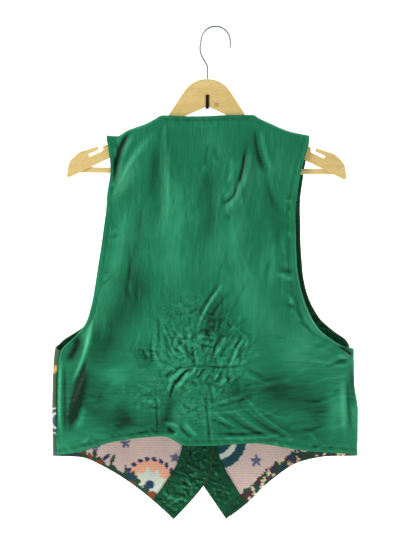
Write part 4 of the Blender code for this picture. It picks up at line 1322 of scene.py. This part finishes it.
def front_panel(hand: Hand) -> Panel:
    """One tapestry front, from its side (u = 0) to its closing edge (u = 1).

    Args:
        hand: Left or right, seen from behind.

    Returns:
        The panel.
    """
    low, high = SHOULDER_SHARES
    is_left = hand is Hand.LEFT
    column = hand.name.lower()

    def shoulder_edge(share: Array) -> tuple[Array, Array]:
        at = low * share if is_left else 1 - (1 - high) * share
        x = along(BACK_TOP, "share", at, "x")
        z = along(BACK_TOP, "share", at, "z") - SHOULDER_DROP
        return turn_at(x, z), z

    hem = edge_of_points(LEFT_LOWER_EDGE if is_left else RIGHT_LOWER_EDGE)
    outer = side_edge(Side.FRONT, hand)
    corner_turn, corner_z = hem(START)

    def bottom(share: Array) -> tuple[Array, Array]:
        turn, z = hem(share)
        return turn + (outer(corner_z) - corner_turn) * (1 - blend(share, 0.0, 0.2)), z

    def closing(z: Array) -> Array:
        return turn_at(along(CLOSING, "z", z, column), z)

    def under_step(x: Array) -> Array:
        return LAP_DEPTH * blend(x, *LAP_X)

    sign = hand.value
    places = ((sign * 120, -300, 50), (sign * 130, -500, 50), (sign * 110, -640, 50))
    small = crumples(60, 21 + sign, places, (30, 80), (5, 10), (0.15, 0.5), -80, 30)
    return Panel(
        f"front_{column}", Side.FRONT, -sign, shoulder_edge, bottom,
        edge_of_turns(outer, float(shoulder_edge(START)[1][0]), float(corner_z[0])),
        edge_of_turns(closing, float(shoulder_edge(END)[1][0]), float(hem(END)[1][0])),
        (3, 1), lambda u: np.ones_like(u), FRONT_FOLDS, (*FRONT_CREASES, *small), (),
        150, 250, 1.8, under_step if is_left else None, dense_v=(0.74, 1.0, 1.2),
    )


# A strip of a front: its span across and down as shares, its grid's cells, the seed, number
# and slant of its creases, and its cut piece's flat size and area in metres
FacingCut = namedtuple("FacingCut", "across down cells seed folds slant flat area")
# The strips lie a hair inside the front's edges and start below the shoulder seam
FACING_INSET, FACING_TOP = 0.0035, 1 / 30
FACINGS = {
    Hand.LEFT: {
        "facing": FacingCut((12 / 16, 1 - FACING_INSET), (FACING_TOP, 0.9985), (44, 460),
                            30, 430, -30.0, (0.076, 0.620), 0.0255),
        "armhole_facing": FacingCut((FACING_INSET, 2 / 16), (FACING_TOP, 19.9 / 30), (18, 150),
                                    40, 60, 10.0, (0.032, 0.310), 0.0080),
    },
    Hand.RIGHT: {
        "facing": FacingCut((13 / 16, 1 - FACING_INSET), (FACING_TOP, 0.9985), (34, 460),
                            32, 190, -30.0, (0.058, 0.620), 0.0190),
        "armhole_facing": FacingCut((FACING_INSET, 2 / 16), (FACING_TOP, 19.9 / 30), (18, 150),
                                    42, 60, 10.0, (0.032, 0.310), 0.0080),
    },
}


@dataclass
class Facing:
    """A satin strip inside a front, made from that front's own points."""

    name: str
    front: Panel
    cut: FacingCut
    wall: float = 0.9
    gap: float = 0.35
    # How much painted shade and highlight the crumples give
    crease_shade_gain: float = 0.46
    crushed: float = 0.8
    stitch_mm: float = 5.0

    def build(self, satin: bpy.types.Material) -> bpy.types.Object:
        """Make the strip with its own small crumples.

        Args:
            satin: Its material.

        Returns:
            The finished strip.
        """
        cut = self.cut
        across, down = cut.cells
        grid = np.meshgrid(np.linspace(*cut.across, across + 1), np.linspace(*cut.down, down + 1))
        shape = (down + 1, across + 1)
        points, normals = self.front.at(grid[0].ravel(), grid[1].ravel())
        x, z = points[:, 0].reshape(shape), points[:, 2].reshape(shape)
        edge = np.minimum(np.arange(across + 1), across - np.arange(across + 1)) / across
        quiet = blend(edge, 0.0, 0.22)[None, :]
        lift = relief(self._crumples(points), x, z, PRESSED) * (0.25 + 0.75 * quiet)
        # Painted shade in the crumples' hollows and painted highlight on their crests
        tone = (lift - softened(lift, 3)) * self.crease_shade_gain
        # The stitched line across the strip, a little above its lower end, sunk and painted darker as
        # shade
        from_end = (down - np.arange(down + 1)) / down * cut.flat[1] / MM
        stitched = np.exp(-(((from_end - self.stitch_mm) / 1.5) ** 2))[:, None]
        lift = lift - 0.5 * stitched
        tone = tone - 0.3 * stitched
        inside = self.front.wall / 2 + self.gap + self.wall / 2
        placed = points.reshape(*shape, 3) - normals.reshape(*shape, 3) * (
            inside + np.clip(lift + 0.9, 0, 2.6))[..., None]
        piece = cloth_mesh(self.name + "_cloth", placed, placed[..., (0, 2)] * MM,
                           {"tone": tone, "crush": np.full(shape, self.crushed)})
        thicken(piece, self.wall, -1)
        dress(piece, "satin_facing", satin)
        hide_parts(self.name)
        return piece

    def _crumples(self, points: Array) -> list[Crease]:
        """Small creases all over the strip, half of them near its lower, most handled end."""
        draw = np.random.default_rng(self.cut.seed)
        picks = np.column_stack((points[:, 0], points[:, 2], np.full(len(points), 5.0)))
        picks = np.concatenate([group[draw.permutation(len(group))[:120]]
                                for group in (picks, picks[-len(picks) // 4:])])
        return crumples(self.cut.folds, self.cut.seed, picks, (10, 32), (1.2, 2.4), (0.3, 1.1),
                        self.cut.slant, 40)


# Sewing

@dataclass
class Sewing:
    """Rows of stitches that lie on finished cloth, one joined mesh for each thread."""

    name: str
    pitch: float = 3.4
    stitch: float = 2.5
    thick: float = 0.55
    # How much thinner its ends are, and how far they sink, in millimetres
    pinch: float = 0.6
    sink: float = 0.25

    def __post_init__(self) -> None:
        """Model one stitch: a short six-sided bar with pinched ends, along X."""
        bpy.ops.object.select_all(action="DESELECT")
        bpy.ops.mesh.primitive_cylinder_add(vertices=6, radius=self.thick / 2, depth=self.stitch,
                                            rotation=(0, math.pi / 2, 0))
        bar = bpy.context.object
        bpy.ops.object.transform_apply(location=False, rotation=True, scale=False)
        bpy.ops.object.mode_set(mode="EDIT")
        bpy.ops.mesh.select_all(action="SELECT")
        bpy.ops.mesh.bisect(plane_co=(0, 0, 0), plane_no=(1, 0, 0))
        bpy.ops.object.mode_set(mode="OBJECT")
        mesh = bar.data
        for vert in mesh.vertices:
            share = abs(vert.co.x) / (self.stitch / 2)
            vert.co.y *= 1 - self.pinch * share
            vert.co.z = vert.co.z * (1 - self.pinch * share) - self.sink * share
        self.verts = np.array([vert.co for vert in mesh.vertices])
        self.faces = [tuple(face.vertices) for face in mesh.polygons]
        bpy.data.objects.remove(bar, do_unlink=True)
        self.places: list[tuple[Array, Array, Array]] = []

    def run(self, points: Array, normals: Array, lift: float) -> None:
        """Lay stitches along a line on the cloth.

        Args:
            points: The line's points, in millimetres.
            normals: The side of the cloth that the stitches lie on.
            lift: How far above the cloth's middle surface they lie.
        """
        lengths = np.concatenate(([0], np.cumsum(np.linalg.norm(np.diff(points, axis=0), axis=1))))

        def read(values: Array, at: float) -> Array:
            return np.array([np.interp(at, lengths, values[:, k]) for k in range(3)])

        for centre in np.arange(self.pitch / 2, lengths[-1], self.pitch):
            start, middle, end = (read(points, centre + half) for half in
                                  (-self.stitch / 2, 0.0, self.stitch / 2))
            normal = read(normals, centre)
            along_line = (end - start) / max(np.linalg.norm(end - start), 1e-6)
            normal = normal - along_line * normal.dot(along_line)
            normal = normal / np.linalg.norm(normal)
            self.places.append((middle + normal * lift, along_line, normal))

    def build(self, material: bpy.types.Material, slot: str) -> bpy.types.Object:
        """Join every stitch into one piece."""
        verts, faces = [], []
        for k, (middle, line, normal) in enumerate(self.places):
            side = np.cross(normal, line)
            turned = (self.verts[:, :1] * line + self.verts[:, 1:2] * side
                      + self.verts[:, 2:] * normal)
            verts.append(turned + middle)
            offset = k * len(self.verts)
            faces += [tuple(index + offset for index in face) for face in self.faces]
        mesh = bpy.data.meshes.new(self.name)
        placed = (np.concatenate(verts) + GARMENT_PLACE) * MM
        mesh.from_pydata(placed.tolist(), [], faces)
        piece = in_scene(self.name, mesh)
        dress(piece, slot, material)
        return piece


def inset_line(panel: Panel, edge: str, inset: float, span: tuple[float, float],
               count: int) -> tuple[Array, Array]:
    """A line on a panel that keeps a distance from one of its edges.

    Args:
        panel: The panel.
        edge: start, end, top or bottom.
        inset: The distance in millimetres.
        span: The stretch of the edge, as shares.
        count: How many points.

    Returns:
        Points and outward normals.
    """
    share = np.linspace(*span, count)
    if edge in ("start", "end"):
        left, _ = panel.at(np.zeros(count), share)
        right, _ = panel.at(np.ones(count), share)
        middle, _ = panel.at(np.full(count, 0.5), share)
        width = np.linalg.norm(middle - left, axis=1) + np.linalg.norm(right - middle, axis=1)
        u = inset / width
        return panel.at(u if edge == "start" else 1 - u, share)
    upper, _ = panel.at(share, np.zeros(count))
    lower, _ = panel.at(share, np.ones(count))
    height = np.linalg.norm(lower - upper, axis=1)
    v = inset / height
    return panel.at(share, v if edge == "top" else 1 - v)


# Buttons

@dataclass
class Buttons:
    """Five round buttons on the outside of the fronts, each with its sewing."""

    count: int = 5
    radius: float = 7.4
    hole_radius: float = 0.9
    hole_spread: float = 1.9
    thickness: float = 2.4
    rim_width: float = 1.5
    slope_width: float = 0.7
    dish_depth: float = 0.7
    rounding: float = 0.5
    strand_radius: float = 0.42
    # How far the lower strand sinks into the dish, and how far the upper one lies over it
    strand_sunk: float = 0.4
    strand_step: float = 0.35

    def build(self, horn: bpy.types.Material, thread: bpy.types.Material) -> None:
        """Model one button and set a copy where each CAD button lies."""
        pattern = self._pattern()
        cross = self._thread_pattern()
        for number in range(1, self.count + 1):
            node = f"button_{number}"
            matrix = self._seat(node)
            for source, name, look in ((pattern, f"{node}_turned", horn),
                                       (cross, f"{node}_thread", thread)):
                piece = in_scene(name, source.data.copy())
                piece.data.name = name
                piece.data.transform(matrix)
                dress(piece, "button", look)
                if source is pattern:
                    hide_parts(node)
        for source in (pattern, cross):
            bpy.data.objects.remove(source, do_unlink=True)

    def _seat(self, node: str) -> Matrix:
        """The place of a CAD button: its flat underside's middle and outward direction."""
        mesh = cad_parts[node].data
        spots = np.array([vert.co for vert in mesh.vertices])
        centre = spots.mean(axis=0)
        _, _, axes = np.linalg.svd(spots - centre)
        normal = axes[2] if axes[2][1] > 0 else -axes[2]
        base = centre + normal * ((spots - centre) @ normal).min()
        turn = Vector((0, 0, 1)).rotation_difference(Vector(normal)).to_matrix().to_4x4()
        return Matrix.Translation(Vector(base)) @ turn

    def _pattern(self) -> bpy.types.Object:
        """A dished disc with a rounded rim and four holes, standing on the origin."""
        bpy.ops.object.select_all(action="DESELECT")
        bpy.ops.mesh.primitive_cylinder_add(vertices=48, radius=self.radius * MM,
                                            depth=self.thickness * MM,
                                            location=(0, 0, self.thickness / 2 * MM))
        disc = bpy.context.object
        bpy.ops.object.transform_apply(location=True, rotation=False, scale=False)
        bpy.ops.object.mode_set(mode="EDIT")
        bpy.ops.mesh.select_mode(type="FACE")
        bpy.ops.mesh.select_all(action="DESELECT")
        edit = bmesh.from_edit_mesh(disc.data)
        for face in edit.faces:
            face.select_set(face.normal.z > 0.9)
        bmesh.update_edit_mesh(disc.data)
        bpy.ops.mesh.inset(thickness=self.rim_width * MM)
        bpy.ops.mesh.inset(thickness=self.slope_width * MM)
        bpy.ops.transform.translate(value=(0, 0, -self.dish_depth * MM))
        bpy.ops.object.mode_set(mode="OBJECT")
        rim = disc.modifiers.new("rim", "BEVEL")
        rim.width = self.rounding * MM
        rim.segments = 3
        rim.limit_method = "ANGLE"
        rim.angle_limit = math.radians(50)
        apply(disc, rim)
        for k in range(4):
            angle = math.pi / 4 + k * math.pi / 2
            bpy.ops.object.select_all(action="DESELECT")
            bpy.ops.mesh.primitive_cylinder_add(
                vertices=14, radius=self.hole_radius * MM, depth=3 * self.thickness * MM,
                location=(self.hole_spread * math.cos(angle) * MM,
                          self.hole_spread * math.sin(angle) * MM, 0))
            drill = bpy.context.object
            hole = disc.modifiers.new("hole", "BOOLEAN")
            hole.operation = "DIFFERENCE"
            hole.object = drill
            apply(disc, hole)
            bpy.data.objects.remove(drill, do_unlink=True)
        select_only(disc)
        bpy.ops.object.shade_smooth_by_angle(angle=math.radians(40))
        return disc

    def _thread_pattern(self) -> bpy.types.Object:
        """Two crossed bars of thread over the holes."""
        bpy.ops.object.select_all(action="DESELECT")
        strands = []
        for k in range(2):
            bpy.ops.mesh.primitive_cylinder_add(
                vertices=10, radius=self.strand_radius * MM, depth=2 * self.hole_spread * MM,
                location=(0, 0, (self.thickness - self.strand_sunk + self.strand_step * k) * MM),
                rotation=(0, math.pi / 2, math.pi / 4 + k * math.pi / 2))
            strands.append(bpy.context.object)
        for strand in strands:
            strand.select_set(True)
        bpy.ops.object.join()
        bpy.ops.object.transform_apply(location=True, rotation=True, scale=True)
        bpy.ops.object.mode_set(mode="EDIT")
        bpy.ops.mesh.select_all(action="SELECT")
        bpy.ops.mesh.bevel(offset=0.15 * MM, segments=1, affect="EDGES")
        bpy.ops.object.mode_set(mode="OBJECT")
        bpy.ops.object.shade_smooth()
        return bpy.context.object


# Garment

# Rows of stitches: the edge they follow, how far from it, along which span, and their points
Row = namedtuple("Row", "edge inset span count")
BACK_ROWS = table(
    Row,
    ("top", 0.5, (SHOULDER_SHARES[0] + 0.03, SHOULDER_SHARES[1] - 0.03), 260),
    ("start", 6.0, (0.01, 0.63), 260), ("end", 6.0, (0.01, 0.63), 260),
    ("bottom", 6.5, (0.01, 0.99), 420),
)
FRONT_ROWS = table(
    Row,
    ("start", 4.0, (0.05, 0.61), 260), ("start", 15.0, (0.05, 0.61), 260),
    ("end", 4.0, (0.05, 0.99), 420),
)
# The middle tuck's row and the one across the waist, from x, z to x, z
STRAIGHT_ROWS = ((-1.4, -567, 4.8, -656), (-56, -541, 56, -538))


@dataclass
class Waistcoat:
    """The garment: back, fronts, facings, buttons and sewing."""

    back_flat: tuple[float, float] = (0.512, 0.552)
    back_area: float = 0.212
    front_flat: tuple[float, float] = (0.285, 0.660)
    front_area: float = 0.118
    # From a front's inner face to the inner face of its facings, in millimetres
    facing_depth: float = 1.3
    # The share of a front's width that is turned in at its side and at its closing edge
    turned_in: tuple[float, float] = (0.01, 0.012)

    def build(self) -> None:
        """Make every piece of the garment, in the order that a maker lays them."""
        # Each satin's deep and light ends are reached by painted shade and highlight as well as by
        # random tone
        satin = Satin("satin_green", "#002814", "#18734E", "#3DA77B").material()
        facing_satin = Satin("satin_facing_green", "#001209", "#07492C", "#2E8A5C").material()
        wrong = Tapestry("tapestry_wrong_side", "wrong_face").material()
        right = Tapestry("tapestry_right_side", "right_face").material()
        back = back_panel()
        self._dent_seams(back)
        piece = back.build("satin", satin, satin)
        fronts = {hand: front_panel(hand) for hand in Hand}
        for hand, front in fronts.items():
            piece = front.build("tapestry", right, wrong, self._woven(front))
            for kind, cut in FACINGS[hand].items():
                Facing(f"{kind}_{hand.name.lower()}", front, cut).build(facing_satin)
        self._sew(back, fronts)
        horn = Horn().material()
        Buttons().build(horn, Thread("button_thread", "#C9B98E").material())

    def _dent_seams(self, back: Panel) -> None:
        """Sink the back's stitched lines a little, paint shade into them, and pucker the cloth beside
        them.
        """
        x, z = back.base[..., 0], back.base[..., 2]
        side, hem = back.from_side(), back.from_hem()
        low, high = SHOULDER_SHARES
        far_off = 50.0
        at_neck = (back.u > low + 0.01) & (back.u < high - 0.01)
        neck = np.where(at_neck, back.from_top(), far_off)
        pucker = np.sin(x / 2.1 + 2 * np.sin(x / 13) + z / 2.7)
        reach = 1.9
        # Each row's distance from its edge, and how deep it sinks
        for distance, inset, deep in ((side, 8.0, 0.45), (hem, 7.0, 0.9), (neck, 6.5, 0.9)):
            row = np.exp(-((distance - inset) / reach) ** 2)
            beside = np.exp(-((distance - inset) / (3 * reach)) ** 2)
            back.raise_by((-0.8 * row + 0.28 * pucker * beside) * deep, 0.34)
        # The turned edge stands a little proud and is painted a touch lighter as highlight
        turned = 0.5 * (1 - blend(np.minimum(hem, side), 5.0, 7.0)) * blend(hem, 0.0, 1.5)
        back.raise_by(turned, 0.1)

    def _woven(self, front: Panel) -> dict[str, Array]:
        """The woven colours of both faces of a front."""
        x, z, above = front.base[..., 0], front.base[..., 2], front.from_hem()
        right, wrong = weave(RIGHT_FACE, x, z, above), weave(WRONG_FACE, x, z, above)
        by_side, by_closing = self.turned_in
        turned = (front.u > 1 - by_closing) | (front.u < by_side)
        turned = np.broadcast_to(turned, x.shape)
        wrong[turned] = linear(RIGHT_FACE.brown)
        return {"right_face": right, "wrong_face": wrong}

    def _sew(self, back: Panel, fronts: dict[Hand, Panel]) -> None:
        """Lay the visible rows of stitches."""
        green = Thread("thread_green", "#0E4A2E").material()
        rows = Sewing("stitches_green")
        on_back = back.wall / 2 + 0.05
        for row in BACK_ROWS:
            rows.run(*inset_line(back, *row), on_back)
        for ends in STRAIGHT_ROWS:
            rows.run(*self._straight(back, *ends), on_back)
        for front in fronts.values():
            inside = -(front.wall / 2 + self.facing_depth)
            for row in FRONT_ROWS:
                points, normals = inset_line(front, *row)
                rows.run(points + normals * inside, -normals, 0.05)
        rows.build(green, "satin_facing")

    def _straight(self, panel: Panel, x0: float, z0: float, x1: float, z1: float,
                  count: int = 60) -> tuple[Array, Array]:
        """The line on a panel that runs straight between two places, seen from behind."""
        grid = panel.points[panel.roll_rows:]
        places = []
        for t in np.linspace(0, 1, count):
            x, z = x0 + t * (x1 - x0), z0 + t * (z1 - z0)
            near = np.argmin((grid[..., 0] - x) ** 2 + (grid[..., 2] - z) ** 2)
            places.append(np.unravel_index(near, grid.shape[:2]))
        j = panel.v[panel.roll_rows + np.array([p[0] for p in places]), 0]
        i = panel.u[0, np.array([p[1] for p in places])]
        share = np.linspace(0, 1, count)
        bend = np.polyfit(share, np.stack((i, j), axis=1), 2)
        t = share[:, None]
        smooth = bend[0] * t ** 2 + bend[1] * t + bend[2]
        return panel.at(smooth[:, 0], smooth[:, 1])


@dataclass
class Hanger:
    """The wooden hanger: its solids keep their shape and take their finishes here."""

    wood_nodes: tuple[str, ...] = ("hanger_body", "hanger_bar")

    def dress(self) -> None:
        """Finish the board, the bar, the hook and its clip."""
        wood = Beech().material()
        for name in self.wood_nodes:
            self._finish(name, wood)
        self._finish("hook", Metal("steel_drawn", "#77827F", 0.42, 0.55).material())
        self._finish("hook_clip", Metal("steel_blackened", "#141414", 0.45, 0.6).material())

    def _finish(self, name: str, material: bpy.types.Material) -> None:
        """Put a material on a CAD node."""
        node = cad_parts[name]
        node.data.materials.clear()
        node.data.materials.append(material)
        LOG.info("%s: finished as %s", name, material.name)


# Studio

@dataclass
class Studio:
    """Pale sweep, soft lights and the camera."""

    frame_height: float = 0.882
    distance: float = 6.0
    centre: tuple[float, float] = (-0.0122, -0.3976)
    floor_z: float = -0.86
    wall_y: float = 1.5
    bend: float = 0.7

    def build(self) -> None:
        """Set up the sweep, the lights and the camera."""
        self._sweep()
        world = bpy.context.scene.world or bpy.data.worlds.new("studio")
        bpy.context.scene.world = world
        world.use_nodes = True
        sky = world.node_tree.nodes["Background"].inputs
        sky["Color"].default_value = (1, 1, 1, 1)
        sky["Strength"].default_value = 0.30
        middle = (self.centre[0], 0, self.centre[1])
        wall = (self.centre[0], self.wall_y, self.centre[1])
        self._light("key", (-1.5, -1.1, 0.75), middle, 0.5, 30)
        self._light("fill", (1.6, -1.6, 0.0), middle, 1.2, 6)
        self._light("wall_left", (-1.5, 0.35, 0.4), wall, 1.0, 46)
        self._light("wall_right", (1.5, 0.35, 0.4), wall, 1.0, 46)
        x, z = self.centre
        camera = in_scene("camera", bpy.data.cameras.new("camera"))
        camera.location = (x, -self.distance, z)
        camera.rotation_euler = (math.pi / 2, 0, 0)
        camera.data.sensor_fit = "VERTICAL"
        camera.data.sensor_height = 24.0
        camera.data.lens = camera.data.sensor_height * self.distance / self.frame_height
        bpy.context.scene.camera = camera
        bpy.context.scene.view_settings.view_transform = "Standard"

    def _light(self, name: str, place: tuple[float, float, float],
               target: tuple[float, float, float], size: float, power: float) -> None:
        """A square area light that looks at a target."""
        data = bpy.data.lights.new(name, "AREA")
        data.size = size
        data.energy = power
        lamp = in_scene(name, data)
        lamp.location = place
        aim = Vector(target) - Vector(place)
        lamp.rotation_euler = aim.to_track_quat("-Z", "Y").to_euler()

    def _sweep(self) -> None:
        """A paper sweep: floor, a wide bend and a wall behind the garment."""
        floor = fresh_grid("floor", 1, 40)
        run, rise = 5.0, 6.0
        arc = self.bend * math.pi / 2
        total = run + arc + rise
        for vert in floor.data.vertices:
            way = (vert.co.y + 0.5) * total
            angle = min(max((way - run) / self.bend, 0.0), math.pi / 2)
            y = self.wall_y - self.bend - max(run - way, 0.0) + self.bend * math.sin(angle)
            z = self.floor_z + self.bend * (1 - math.cos(angle)) + max(way - run - arc, 0.0)
            vert.co = (vert.co.x * 9.0, y, z)
        bpy.ops.object.shade_smooth()
        made, tree, shader = blank("paper_white", Roughness=0.9)
        grain = noise(tree, add(tree, "TexCoord").outputs["Object"], 300.0)
        tree.links.new(ramp(tree, grain, ((0.3, "#F4F3F1"), (0.7, "#F8F7F5"))),
                       shader.inputs["Base Color"])
        # The paper is clear from behind, so that it hides the garment from no side
        behind = add(tree, "NewGeometry").outputs["Backfacing"]
        clear = add(tree, "BsdfTransparent").outputs["BSDF"]
        both = add(tree, "MixShader", links={0: behind, 1: shader.outputs["BSDF"], 2: clear})
        out = tree.nodes["Material Output"]
        tree.links.new(both.outputs[0], out.inputs["Surface"])
        floor.data.materials.append(made)


def main() -> None:
    """Build the waistcoat, dress the hanger and set up the studio."""
    logging.basicConfig(level=logging.INFO, format="%(name)s %(message)s")
    Waistcoat().build()
    Hanger().dress()
    Studio().build()


if __name__ == "__main__":
    main()
